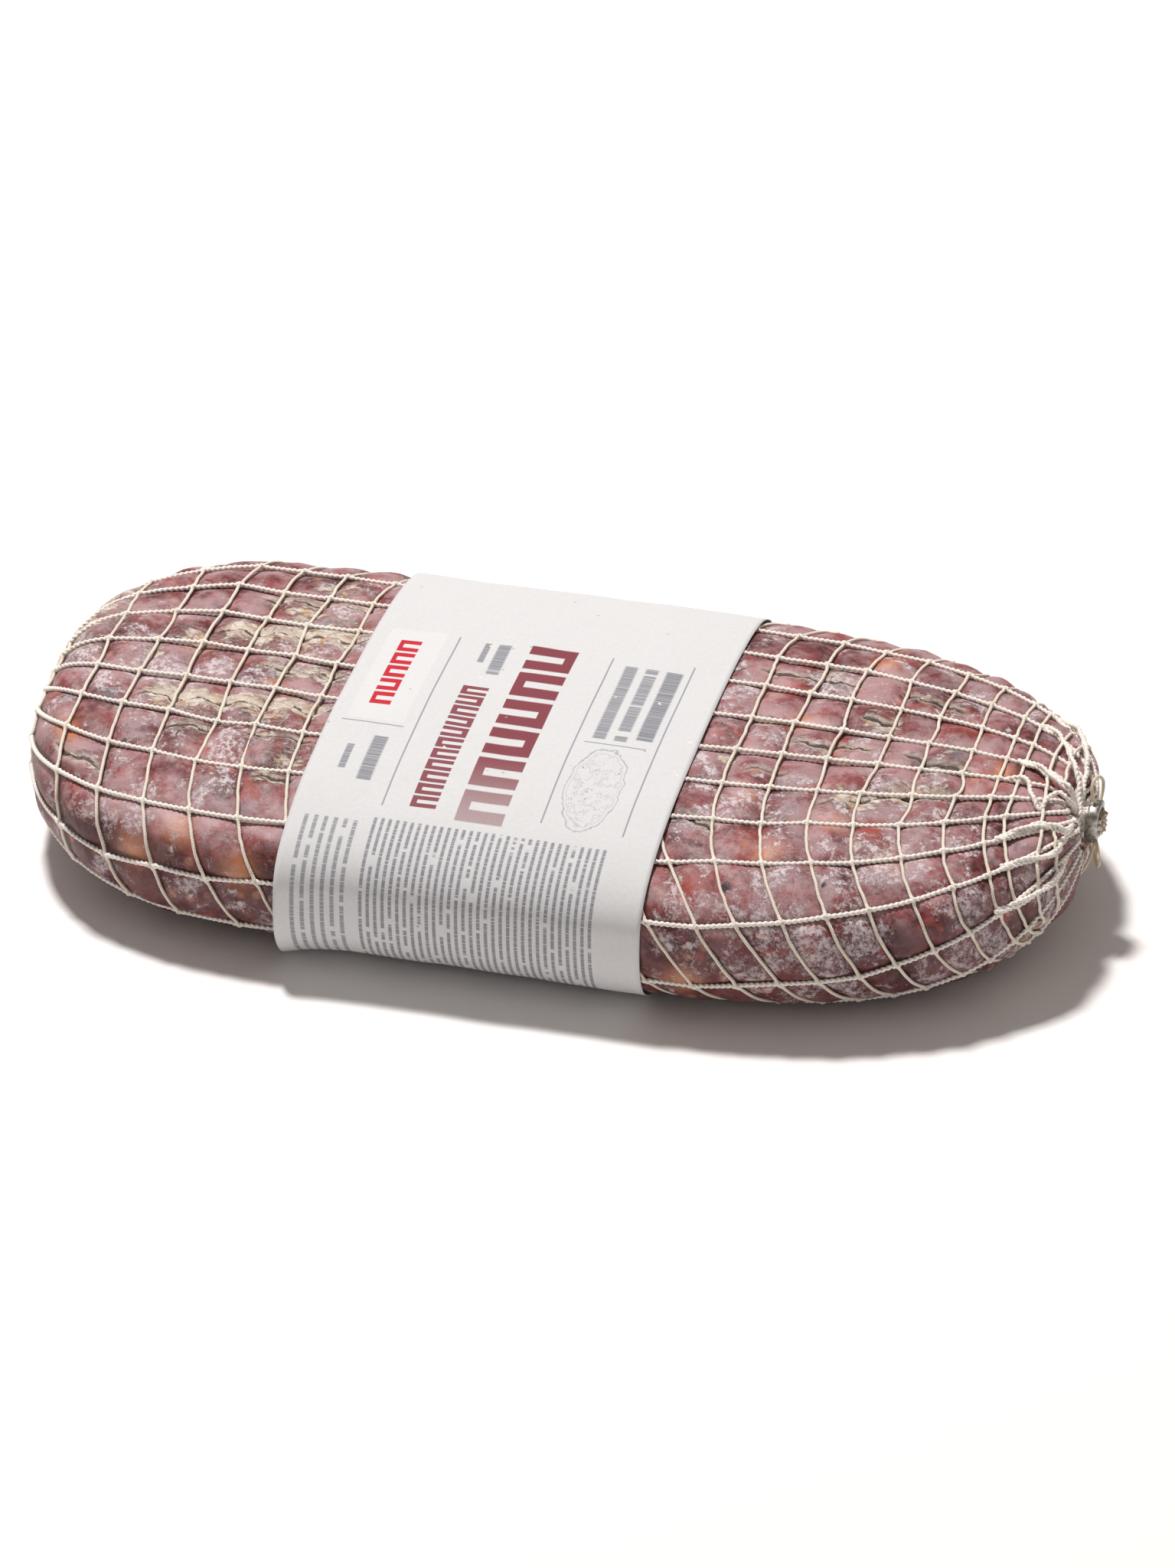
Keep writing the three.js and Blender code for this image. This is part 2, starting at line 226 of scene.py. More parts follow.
# %% Noise, materials and attributes
def noise_value(tree, where, scale, detail=3.0, roughness=0.55, distortion=0.0):
    """Noise from 0 to 1, with that many patches to the metre."""
    inputs = {
        "Vector": where,
        "Scale": scale,
        "Detail": detail,
        "Roughness": roughness,
        "Distortion": distortion,
    }
    return add(tree, "ShaderNodeTexNoise", inputs).outputs["Fac"]


def new_material(name):
    material = bpy.data.materials.new(name)
    material.use_nodes = True
    tree = material.node_tree
    tree.nodes.clear()
    shader = add(tree, "ShaderNodeBsdfPrincipled")
    output = add(tree, "ShaderNodeOutputMaterial", {"Surface": shader.outputs[0]})
    output.location = (300, 0)
    return material, tree, shader


def feed(tree, shader, **values):
    """Sets the shader's inputs; an underscore in a name stands for a space."""
    for name, value in values.items():
        socket = shader.inputs[name.replace("_", " ")]
        if isinstance(value, bpy.types.NodeSocket):
            tree.links.new(value, socket)
        else:
            socket.default_value = value


def attribute(tree, name):
    return add(tree, "ShaderNodeAttribute", attribute_name=name).outputs["Fac"]


# %% [markdown]
# ## The skin of the sausage
# The body is a lozenge with a flat underside. A section across it is a rounded box: rounder above the equator,
# squarer below. Towards each end its four sides close up over their own lengths, so the rear is blunt and the
# nose is long. The same rule as the frame's is used, so that the two agree.

# %% Skin
LENGTH, WIDTH, HEIGHT = 322.0, 168.0, 57.0
HALF = LENGTH / 2
TAPER, EQUATOR, TOP_ROUND, UNDER_ROUND, PRESSED = 0.047, 0.594, 2.5, 3.0, 8.3
REAR = {"front": (92, 2.8), "back": (50, 1.6), "top": (26, 3.2), "under": (100, 2.4), "y": 8, "z": 28}
NOSE = {"front": (128, 2.3), "back": (128, 2.3), "top": (128, 3.2), "under": (128, 3.2), "y": 0, "z": 42}
BAND_FROM, BAND_TO = -66.0, 45.0
SHIFT = np.array([
    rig.box("paper_band")[0][0] / MM - BAND_FROM,
    0.0,
    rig.box("salami")[0][2] / MM - PRESSED,
])


def closing(distance, rule):
    length, power = rule
    share = np.clip(1 - distance / length, 0, 1)
    return np.maximum(1 - share**power, 0) ** (1 / power)


def section(x, samples=721):
    """Points round the section at each x, from the front edge over the top: arrays y, z."""
    x = np.asarray(x, float).reshape(-1, 1)
    sides = ("front", "back", "top", "under")
    share = {k: closing(HALF + x, REAR[k]) * closing(HALF - x, NOSE[k]) for k in sides}
    along = (HALF + x) / LENGTH
    pole_y = REAR["y"] + (NOSE["y"] - REAR["y"]) * along
    pole_z = REAR["z"] + (NOSE["z"] - REAR["z"]) * along
    half = WIDTH / 2 * (1 + TAPER * x / HALF)
    low = pole_z * (1 - share["under"])
    high = pole_z + (HEIGHT - pole_z) * share["top"]
    middle = low + EQUATOR * (high - low)
    angle = np.linspace(0, 2 * np.pi, samples)[None]
    across, rise = -np.cos(angle), np.sin(angle)
    power = 2 / np.where(rise >= 0, TOP_ROUND, UNDER_ROUND)
    reach = np.where(across < 0, (half + pole_y) * share["front"], (half - pole_y) * share["back"])
    y = pole_y + np.sign(across) * reach * np.abs(across) ** power
    z = middle + np.sign(rise) * np.where(rise >= 0, high - middle, middle - low) * np.abs(rise) ** power
    return y, np.maximum(z, PRESSED)


def evenly(y, z, turns):
    """The points of one closed section at shares of its length."""
    travelled = np.concatenate([[0], np.cumsum(np.hypot(np.diff(y), np.diff(z)))])
    wanted = turns * travelled[-1]
    return np.interp(wanted, travelled, y), np.interp(wanted, travelled, z)

# %% [markdown]
# Everything on the sausage is placed by its station along the length and its turn round the section, as a
# share of the way round, so the sections are laid out once in a table and read from it.

# %% Skin table
TABLE_X = -HALF * np.cos(np.linspace(0.004, np.pi - 0.004, 900))
TABLE_TURN = np.linspace(0, 1, 1201)
table = np.empty((len(TABLE_X), len(TABLE_TURN), 2))
for i, (y, z) in enumerate(zip(*section(TABLE_X))):
    table[i, :, 0], table[i, :, 1] = evenly(y, z, TABLE_TURN)


def skin(x, turn):
    """The smooth skin at station x and turn round the section, in mm."""
    x = np.clip(x, TABLE_X[0], TABLE_X[-1])
    turn = np.mod(turn, 1.0)
    i = np.clip(np.searchsorted(TABLE_X, x) - 1, 0, len(TABLE_X) - 2)
    fx = ((x - TABLE_X[i]) / (TABLE_X[i + 1] - TABLE_X[i]))[..., None]
    t = turn * (len(TABLE_TURN) - 1)
    j = np.clip(t.astype(int), 0, len(TABLE_TURN) - 2)
    ft = (t - j)[..., None]
    near = table[i, j] * (1 - ft) + table[i, j + 1] * ft
    far = table[i + 1, j] * (1 - ft) + table[i + 1, j + 1] * ft
    yz = near * (1 - fx) + far * fx
    return np.concatenate([x[..., None], yz], -1)


print("skin table", table.shape, "shift", SHIFT)

# %% [markdown]
# ## The net on the skin
# Net coordinates: `h` counts the hoops along the sausage, `c` counts the end-to-end yarns round it. A knot sits
# at every pair of whole numbers. The net was pulled on askew and drawn together at the nose, and no knot lies
# exactly in its place, so each has a small offset of its own that the skin, the yarns and the grooves share.

# %% Net coordinates
STRANDS, HOOPS, PITCH, FIRST_HOOP, CROWDING = 20, 23, 14.33, 4.5, 21.0
hoop_x = HALF - np.hypot(LENGTH - FIRST_HOOP - PITCH * np.arange(HOOPS), CROWDING)
H_KNOWN = np.concatenate([[-0.4], np.arange(HOOPS), [HOOPS + 1.2]])
X_KNOWN = np.concatenate([[-HALF], hoop_x, [HALF]])
random = np.random.default_rng(7)
knot_x = random.normal(0, 0.6, (HOOPS + 4, STRANDS))
knot_turn = random.normal(0, 0.0014, (HOOPS + 4, STRANDS))
sag = random.normal(0, 0.3, (HOOPS + 4, STRANDS))
sag[HOOPS - 3 :] += random.normal(0.4, 0.9, (7, STRANDS))


def between(values, h, c):
    """Values at the knots, joined smoothly, with nothing left at the ends."""
    i = np.clip(np.floor(h).astype(int), -1, HOOPS)
    fh = np.clip(h - i, 0, 1)
    j = np.floor(c).astype(int)
    fc = c - j
    a = values[i + 1, j % STRANDS] * (1 - fc) + values[i + 1, (j + 1) % STRANDS] * fc
    b = values[i + 2, j % STRANDS] * (1 - fc) + values[i + 2, (j + 1) % STRANDS] * fc
    calm = np.clip(np.minimum(h + 0.3, HOOPS - 2 - h) / 2, 0, 1)
    return (a * (1 - fh) + b * fh) * calm


def apart(a, b):
    return np.abs(np.mod(a - b + 0.5, 1) - 0.5)


def ease(share):
    return np.cos(np.pi / 2 * np.clip(share, 0, 1)) ** 2


def on_net(h, c):
    """Station and turn of a net coordinate."""
    h, c = np.broadcast_arrays(np.asarray(h, float), np.asarray(c, float))
    x = np.interp(h, H_KNOWN, X_KNOWN) + between(knot_x, h, c)
    bow = np.sin(np.pi * (c - np.floor(c))) * between(sag, h, np.floor(c))
    x = x + bow
    turn = (c + 0.06) / STRANDS + between(knot_turn, h, c)
    along = (x + HALF / 8) / HALF
    rise = 0.007 + 0.023 * along + 0.035 * along**5
    trail = 50 * ease((apart(turn, 0.745) - 0.095) / 0.28) * (1 - np.clip(x / HALF, -1, 1) ** 2)
    return x + trail, turn + rise * ease(apart(turn, 0) / 0.33)


def net_point(h, c):
    return skin(*on_net(h, c))


def net_frame(h, c):
    """Point and outward direction at net coordinates, in mm."""
    h, c = np.broadcast_arrays(np.asarray(h, float), np.asarray(c, float))
    along = net_point(h + 0.04, c) - net_point(h - 0.04, c)
    around = net_point(h, c + 0.04) - net_point(h, c - 0.04)
    out = np.cross(along, around)
    out /= np.maximum(np.linalg.norm(out, axis=-1, keepdims=True), 1e-9)
    return net_point(h, c), out


print("hoops at", np.round(hoop_x, 1))

# %% [markdown]
# ## Salami
# On the real thing the meat swells between the yarns into pillows and the casing wrinkles where the sausage
# shrank. Rows and columns of the mesh follow the net, crowded near the yarns, so the grooves stay crisp.
# Heights come from the distance to the nearest yarn, a few long creases laid where the casing folded, and
# noise.

# %% Rows and columns of the skin
def cell_steps(count):
    """Shares of a cell, closer together near its two yarns."""
    even = np.arange(count) / count
    return even - 0.55 * np.sin(2 * np.pi * even) / (2 * np.pi)


ROW_STEP = 1.12  # mm, the mean distance between rows
rows = [np.linspace(-0.39, 0, 7)[:-1]]
for k in range(HOOPS - 1):
    count = max(8, round((hoop_x[k + 1] - hoop_x[k]) / ROW_STEP))
    rows.append(k + cell_steps(count))
rows.append(np.linspace(HOOPS - 1, HOOPS + 1.17, 30))
rows = np.concatenate(rows)
columns = np.concatenate([k + cell_steps(9 if 10 < k < 16 else 17) for k in range(STRANDS)])
H, C = np.meshgrid(rows, columns, indexing="ij")
station, turn = on_net(H, C)
point, outward = net_frame(H, C)

# Distances to the nearest yarn, in mm.
perimeter = np.linalg.norm(np.roll(point, -1, 1) - point, axis=-1).sum(1, keepdims=True)
to_strand = np.minimum(np.mod(C, 1), 1 - np.mod(C, 1)) * perimeter / STRANDS
hoop_gap = np.interp(H, np.arange(HOOPS - 1) + 0.5, np.diff(hoop_x))
nearest_hoop = np.clip(np.round(H), 0, HOOPS - 1)
to_hoop = np.abs(H - nearest_hoop) * hoop_gap
swell = (1 - np.exp(-to_strand / 2.0)) * (1 - np.exp(-to_hoop / 2.2))
dome = np.sin(np.pi * np.mod(C, 1)) * np.clip(to_hoop / 7, 0, 1)
pillow = np.clip(swell * 1.25, 0, 1)

# %% [markdown]
# The long creases are given as (x, turn) from and to, with their depth. Spots of fat, lean, mould and pepper
# that stand out are given as (x, turn, radius in mm).

# %% Creases and spots
CREASES = [
    (-114, 0.278, -66, 0.291, 1.0), (-126, 0.166, -66, 0.188, 1.0), (-114, 0.133, -99, 0.136, 0.6),
    (-82, 0.091, -69, 0.097, 0.6), (-96, 0.232, -68, 0.238, 0.7), (-106, 0.340, -68, 0.343, 0.6),
    (-90, 0.140, -67, 0.143, 0.5), (86, 0.152, 123, 0.183, 0.8), (88, 0.279, 101, 0.277, 0.7),
    (49, 0.117, 59, 0.111, 0.6), (70, 0.232, 96, 0.236, 0.5), (104, 0.232, 128, 0.222, 0.5),
    (52, 0.328, 84, 0.330, 0.5), (60, 0.186, 74, 0.188, 0.4), (-146, 0.060, -128, 0.062, 0.5),
    (96, 0.330, 118, 0.322, 0.5),
]
PATCHES = [
    (-96, 0.285, 15), (-76, 0.295, 12), (-84, 0.178, 14), (-72, 0.115, 9), (-118, 0.262, 9), (-108, 0.170, 8),
    (-90, 0.325, 11), (-74, 0.235, 9), (92, 0.165, 7), (60, 0.255, 7), (88, 0.215, 5), (97, 0.272, 7),
    (112, 0.178, 7), (74, 0.345, 8), (-128, 0.232, 7), (-84, 0.372, 12), (54, 0.196, 6), (118, 0.246, 5),
    (-152, 0.31, 17), (-156, 0.24, 12), (-150, 0.37, 14), (-157, 0.19, 8), (152, -0.07, 9), (147, -0.10, 9),
]
LEAN = [(89, 0.226, 8), (131, 0.218, 8), (88, 0.387, 7), (75, 0.092, 8), (57, 0.044, 9), (-115, 0.05, 6),
        (120, 0.300, 7), (-84, 0.262, 7), (62, 0.305, 7), (-96, 0.110, 8), (-72, 0.345, 8), (104, 0.120, 7)]
FAT = [(-116, 0.252, 5.0), (-143, 0.086, 6.0), (58, -0.030, 6.0), (111, 0.086, 5.5), (-98, 0.032, 6),
       (72, 0.262, 5.0), (64, 0.150, 4.2), (-112, 0.004, 6), (92, 0.128, 4.6), (-88, 0.212, 3.8),
       (-78, 0.008, 6), (76, 0.088, 4.5), (88, 0.372, 5), (134, 0.24, 4)]
MOULD = [(104, 0.344, 5), (120, 0.247, 4), (111, 0.229, 4), (-134, 0.15, 5), (-80, 0.06, 4)]
PEPPER = [(67.3, 0.051, 2.0), (95, 0.06, 1.2), (-101, 0.3, 1.2), (57, 0.24, 1.1), (-124, 0.1, 1.1)]

# %% [markdown]
# A spot fades out over its radius. A crease is a line that wanders a little; every point of the skin keeps
# its signed distance to the nearest one, in mm, and how deep that one is there.

# %% Spots and creases on the skin
def spots(listed):
    """1 at each spot, falling to 0 over its radius."""
    value = np.zeros_like(station)
    for x, t, radius in listed:
        away = np.hypot(station - x, (np.mod(turn - t + 0.5, 1) - 0.5) * perimeter) / radius
        value = np.maximum(value, np.exp(-(away**2) * 1.4))
    return value


crease_away = np.full_like(station, 12.0)
crease_depth = np.zeros_like(station)
for x0, t0, x1, t1, depth in CREASES:
    share = (station - x0) / (x1 - x0)
    wander = 0.0022 * np.sin(station * 0.45 + x0) + 0.0012 * np.sin(station * 1.1 + 2 * x0)
    line = t0 + (t1 - t0) * share + wander
    signed = (np.mod(turn - line + 0.5, 1) - 0.5) * perimeter
    on_crease = (share > -0.05) & (share < 1.05)
    strength = depth * np.clip(np.minimum(share, 1 - share) * 6 + 0.35, 0, 1) * on_crease
    near = (np.abs(signed) < np.abs(crease_away)) & (strength > 0)
    crease_away = np.where(near, signed, crease_away)
    crease_depth = np.where(near, strength, crease_depth)

# %% [markdown]
# The skin swells between the yarns, most where it sags to the table, and is held flat under the paper band.
# Each end is gathered into pleats round its clip, and the casing is crumpled beside the creases.

# %% Height of the skin
def lumps(points, size, octaves=3):
    """Noise about 0 with lumps of that size in mm."""
    flat = points.reshape(-1, 3) / size
    values = [noise.fractal(Vector(p), 1.0, 2.0, octaves) for p in flat.tolist()]
    return np.array(values).reshape(points.shape[:-1])


def from_pole(points, end, side):
    """Distance across the sausage to the line through the pole, only on that side."""
    away = np.hypot(points[..., 1] - end["y"], points[..., 2] - end["z"])
    return np.where(points[..., 0] * side > HALF - 30, away, 99.0)


rear_away, nose_away = from_pole(point, REAR, -1), from_pole(point, NOSE, 1)
gather = np.maximum(np.exp(-((rear_away / 20) ** 2)), np.exp(-((nose_away / 17) ** 2)))
under_band = ease(np.clip((np.abs(station - (BAND_FROM + BAND_TO) / 2) - 52) / 6, 0, 1))
underneath = ease(np.clip((apart(turn, 0.745) - 0.12) / 0.06, 0, 1))
pleats = np.sin(2 * np.pi * 17 * turn + 1.5 * np.sin(2 * np.pi * 3 * turn))
wrinkled = np.maximum(np.exp(-(crease_away**2) / 60) * crease_depth, spots(PATCHES) * 0.8)

sagging = 1.6 * underneath * (1 - under_band)
height = -0.5 + swell * (1.35 - 0.45 * under_band + sagging) + dome * (0.6 - 0.4 * under_band)
height += lumps(point, 34) * 1.1 * (1 - gather) + lumps(point + 50, 9) * 0.28
height += wrinkled * lumps(point * [0.45, 1, 1] + 90, 3.4, 2) * 0.8
fold_in = 1.7 * np.exp(-((crease_away / 1.1) ** 2))
fold_lip = 0.55 * np.exp(-(((np.abs(crease_away) - 2.6) / 1.2) ** 2))
height -= crease_depth * (fold_in - fold_lip)
height = height * (1 - 0.75 * gather) + pleats * gather * 0.7
height -= under_band * np.maximum(height - 1.0, 0)

# %% [markdown]
# The tips are drawn in towards the clips, then closed by rings that shrink onto the pole.

# %% Salami mesh
def drawn_in(points, radius=13.0, depth=5.0, floor=6.4):
    points = points.copy()
    for end, side in ((REAR, -1), (NOSE, 1)):
        away = np.hypot(points[..., 1] - end["y"], points[..., 2] - end["z"])
        share = np.maximum(away - floor, 0) / (radius - floor)
        near = (points[..., 0] * side > HALF - radius) & (share < 1)
        points[..., 0] -= np.where(near, side * depth * (1 - np.minimum(share, 1) ** 2) ** 2, 0)
    return points


surface = drawn_in(point + outward * height[..., None])
surface[..., 2] = np.maximum(surface[..., 2], PRESSED - 3.3)


def shrunk(ring, pole, share):
    closer = pole + (ring - pole) * share
    closer[:, 0] = pole[0] + (ring[:, 0] - pole[0]) * share**2
    return closer


rear_pole = np.array([-HALF + 5.0, REAR["y"], REAR["z"]])
nose_pole = np.array([HALF - 5.0, NOSE["y"], NOSE["z"]])
caps = [0.06, 0.2, 0.4, 0.6, 0.8]
rings = [shrunk(surface[0], rear_pole, s) for s in caps] + list(surface)
rings += [shrunk(surface[-1], nose_pole, s) for s in reversed(caps)]
rings = np.array(rings)

# %% [markdown]
# The mesh carries what the material needs to know at each point: how high it lies on its pillow, how wrinkled
# the casing is, the nearest crease, and how much lean, fat, mould, pepper and bloom there is.

# %% Salami object
def padded_rows(values, at_ends):
    """An attribute of the surface, continued over the caps."""
    ends = np.full((len(caps), values.shape[1]), float(at_ends))
    return np.concatenate([ends, values, ends])


def grid_mesh(name, rings, poles, attributes):
    """A closed mesh from rings that go round, with a pole at each end, smooth shaded."""
    count, around = rings.shape[:2]
    vertices = np.concatenate([rings.reshape(-1, 3), poles]) + SHIFT
    i, j = np.meshgrid(np.arange(count - 1), np.arange(around), indexing="ij")
    k = (j + 1) % around
    quads = np.stack([i * around + j, (i + 1) * around + j, (i + 1) * around + k, i * around + k], -1)
    faces = quads.reshape(-1, 4).tolist()
    first, last = count * around, count * around + 1
    end = (count - 1) * around
    for j in range(around):
        k = (j + 1) % around
        faces.append([first, j, k])
        faces.append([last, end + k, end + j])
    mesh = bpy.data.meshes.new(name)
    mesh.from_pydata((vertices * MM).tolist(), [], faces)
    mesh.polygons.foreach_set("use_smooth", [True] * len(mesh.polygons))
    for key, values in attributes.items():
        layer = mesh.attributes.new(key, "FLOAT", "POINT")
        flat = np.concatenate([values.ravel(), [values[0, 0], values[-1, 0]]])
        layer.data.foreach_set("value", flat.astype(np.float32))
    mesh.update()
    obj = bpy.data.objects.new(name, mesh)
    bpy.context.collection.objects.link(obj)
    return obj


frosted = spots([(84, 0.02, 34), (118, 0.12, 26), (60, 0.14, 18), (-96, 0.125, 22), (-136, 0.2, 20),
                 (78, 0.33, 18), (-120, 0.04, 16), (-80, 0.25, 16), (140, 0.0, 20)])
salami = grid_mesh("salami_skin", rings, [rear_pole, nose_pole], {
    "pillow": padded_rows(pillow, 0.3),
    "wrinkled": padded_rows(wrinkled, 0),
    "crease_away": padded_rows(crease_away, 12),
    "crease_depth": padded_rows(crease_depth, 0),
    "lean": padded_rows(spots(LEAN), 0),
    "fat": padded_rows(spots(FAT), 0),
    "mould": padded_rows(spots(MOULD), 0),
    "pepper": padded_rows(spots(PEPPER), 0),
    "frosted": padded_rows(frosted, 0),
    "gather": padded_rows(gather, 1),
    "rear": padded_rows(np.exp(-((rear_away / 26) ** 2)), 0),
})
print("salami quads", len(salami.data.polygons))

# %% [markdown]
# The lean meat is dark red-brown through the casing, blotched, with orange-red and pale fat grains. A lilac
# white bloom dusts the tops of the pillows. Loose casing in the wrinkles is cream and dry. Painted shade darkens
# the sides that face away from the top, the grooves between the pillows and the bottoms of the creases.

# %% Salami material
material, tree, shader = new_material("cured_meat")
where = add(tree, "ShaderNodeTexCoord").outputs["Object"]
long_way = add(tree, "ShaderNodeVectorMath", {0: where, 1: (0.4, 1, 1)}, operation="MULTIPLY").outputs[0]
pillow_top = attribute(tree, "pillow")
wrinkle = attribute(tree, "wrinkled")
blotch = noise_value(tree, where, 62, 4, 0.6, 0.4)
grain = noise_value(tree, where, 420, 4, 0.65)
skin_colour = mix(tree, ramp(tree, blotch, 0.38, 0.62), colour("431419"), colour("883638"))
tone = ramp(tree, noise_value(tree, where, 210, 3, 0.6, 1.2), 0.35, 0.7)
skin_colour = mix(tree, maths(tree, "MULTIPLY", tone, 0.4), skin_colour, colour("9C5450"))
skin_colour = mix(tree, ramp(tree, grain, 0.42, 0.72, 0, 0.5), skin_colour, colour("A06A6C"))
facing = add(tree, "ShaderNodeNewGeometry").outputs["Normal"]
facing_up = add(tree, "ShaderNodeSeparateXYZ", {0: facing}).outputs[2]
# Painted shade: the sides that face away from the top are darkened towards a near-black red.
skin_colour = mix(tree, ramp(tree, facing_up, 0.0, 0.75, 0.55, 0.0), skin_colour, colour("33090D"))
lean_noise = noise_value(tree, where, 105, 3, 0.5, 0.8)
lean_mask = maths(tree, "MAXIMUM", ramp(tree, lean_noise, 0.60, 0.70, 0, 0.75), attribute(tree, "lean"))
skin_colour = mix(tree, maths(tree, "MULTIPLY", lean_mask, 0.8), skin_colour, colour("A8493D"))
cells = add(tree, "ShaderNodeTexVoronoi", {"Vector": where, "Scale": 190.0, "Randomness": 1.0})
cell_pick = add(tree, "ShaderNodeSeparateColor", {0: cells.outputs["Color"]}).outputs[0]
grains_fat = maths(
    tree, "MULTIPLY", ramp(tree, cells.outputs["Distance"], 0.42, 0.12), ramp(tree, cell_pick, 0.74, 0.86)
)
fat_mask = maths(tree, "MAXIMUM", maths(tree, "MULTIPLY", grains_fat, 0.55), attribute(tree, "fat"))
skin_colour = mix(tree, maths(tree, "MULTIPLY", fat_mask, 0.75), skin_colour, colour("D9956A"))

# %% [markdown]
# Bloom: a broad patchiness times a fine powder, more on the pillow tops and where the sausage is frosted.

# %% Bloom, casing, creases and spots
powder = noise_value(tree, where, 1500, 5, 0.75)
crust = noise_value(tree, where, 520, 9, 0.88, 0.25)
patches = noise_value(tree, where, 72, 6, 0.62, 0.5)
amount = maths(tree, "ADD", patches, maths(tree, "MULTIPLY", attribute(tree, "frosted"), 0.12))
spread = ramp(tree, amount, 0.43, 0.66)
limit = maths(tree, "SUBTRACT", 0.595, maths(tree, "MULTIPLY", spread, 0.15))
bloom = ramp(tree, maths(tree, "SUBTRACT", crust, limit), -0.02, 0.10)
bloom = maths(tree, "MULTIPLY", bloom, ramp(tree, spread, 0.0, 0.5, 0.25, 1.0))
bloom = maths(tree, "MULTIPLY", bloom, ramp(tree, pillow_top, 0.0, 0.8, 0.4, 1.0))
bloom = maths(tree, "MULTIPLY", bloom, ramp(tree, facing_up, -0.2, 0.7, 0.7, 1.0))
skin_colour = mix(tree, maths(tree, "MULTIPLY", bloom, 0.92), skin_colour, colour("E6DADD"))
veil = ramp(tree, noise_value(tree, where, 64, 8, 0.72), 0.42, 0.60, 0.0, 0.46)
veil = maths(tree, "MULTIPLY", veil, ramp(tree, facing_up, 0.1, 0.8, 0.2, 1.0))
skin_colour = mix(tree, veil, skin_colour, colour("CBB6BA"))
rag = noise_value(tree, long_way, 330, 6, 0.7, 0.6)
casing_amount = maths(tree, "ADD", maths(tree, "MULTIPLY", wrinkle, 0.40), maths(tree, "MULTIPLY", rag, 0.85))
casing = ramp(tree, casing_amount, 0.62, 0.72)
casing = maths(tree, "MAXIMUM", casing, ramp(tree, attribute(tree, "rear"), 0.25, 0.75))
dry = mix(tree, ramp(tree, noise_value(tree, where, 260, 3), 0.35, 0.65), colour("C4AB98"), colour("EFE6DC"))
fissures = add(tree, "ShaderNodeTexVoronoi", {"Vector": long_way, "Scale": 420.0}, feature="DISTANCE_TO_EDGE")
fissure = maths(tree, "ADD", fissures.outputs["Distance"], maths(tree, "MULTIPLY", grain, 0.12))
fissure = ramp(tree, fissure, 0.12, 0.07)
dry = mix(tree, maths(tree, "MULTIPLY", fissure, 0.55), dry, colour("5E463A"))
yellow = ramp(tree, noise_value(tree, where, 300, 2), 0.6, 0.68, 0, 0.6)
dry = mix(tree, yellow, dry, colour("D9A85E"))
skin_colour = mix(tree, maths(tree, "MULTIPLY", casing, 0.85), skin_colour, dry)
edge = maths(tree, "ABSOLUTE", attribute(tree, "crease_away"))
edge = maths(tree, "ADD", edge, ramp(tree, rag, 0.3, 0.7, -0.5, 0.5))
lip = maths(tree, "MULTIPLY", ramp(tree, edge, 2.6, 0.9), attribute(tree, "crease_depth"))
skin_colour = mix(tree, maths(tree, "MULTIPLY", lip, 0.7), skin_colour, colour("E9DDCB"))
# Painted shade: a dark brown line along the bottom of each deep crease, where the fold lies in shade.
deep_crease = ramp(tree, attribute(tree, "crease_depth"), 0.1, 0.5)
crease_shade = maths(tree, "MULTIPLY", ramp(tree, edge, 0.95, 0.3), deep_crease)
skin_colour = mix(tree, maths(tree, "MULTIPLY", crease_shade, 0.9), skin_colour, colour("3E2C28"))
skin_colour = mix(tree, maths(tree, "MULTIPLY", attribute(tree, "mould"), 0.45), skin_colour, colour("5F6470"))
skin_colour = mix(tree, ramp(tree, attribute(tree, "pepper"), 0.25, 0.6, 0, 0.9), skin_colour, colour("2E3236"))
# Painted shade: the grooves between the pillows, where the yarns press in, are darkened towards a dark red-brown.
groove_shade = ramp(tree, pillow_top, 0.0, 0.45, 0.55, 0.0)
skin_colour = mix(tree, groove_shade, skin_colour, colour("40211F"))

bumps = maths(tree, "ADD", maths(tree, "MULTIPLY", grain, 0.5), maths(tree, "MULTIPLY", powder, 0.16))
bumps = maths(tree, "ADD", bumps, maths(tree, "MULTIPLY", maths(tree, "MULTIPLY", rag, casing), 1.6))
bumps = maths(tree, "ADD", bumps, maths(tree, "MULTIPLY", bloom, 0.12))
bump = add(tree, "ShaderNodeBump", {"Height": bumps, "Strength": 0.75, "Distance": 0.0007})
feed(
    tree,
    shader,
    Base_Color=skin_colour,
    Roughness=ramp(tree, maths(tree, "ADD", bloom, casing), 0.0, 1.0, 0.46, 0.85),
    Normal=bump.outputs[0],
    Specular_IOR_Level=0.42,
    Subsurface_Weight=0.06,
    Subsurface_Radius=(1.0, 0.35, 0.2),
    Subsurface_Scale=0.0015,
)
salami.data.materials.append(material)
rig.replaces(salami, "salami")
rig.ride(salami, "root")
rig.slot(salami, "salami")

# %% [markdown]
# ## Net
# Soft cotton yarns. The end-to-end yarns are a firm two-ply cord; the yarns that go round are thinner and
# fuzzier and are looped through the cords at every knot. Each yarn is a line of points laid in its groove; a
# small Geometry Nodes tree sweeps a lobed section along it and turns the section as it goes, which gives the
# twist of the ply. The line carries its own thickness, a little fatter at the knots.

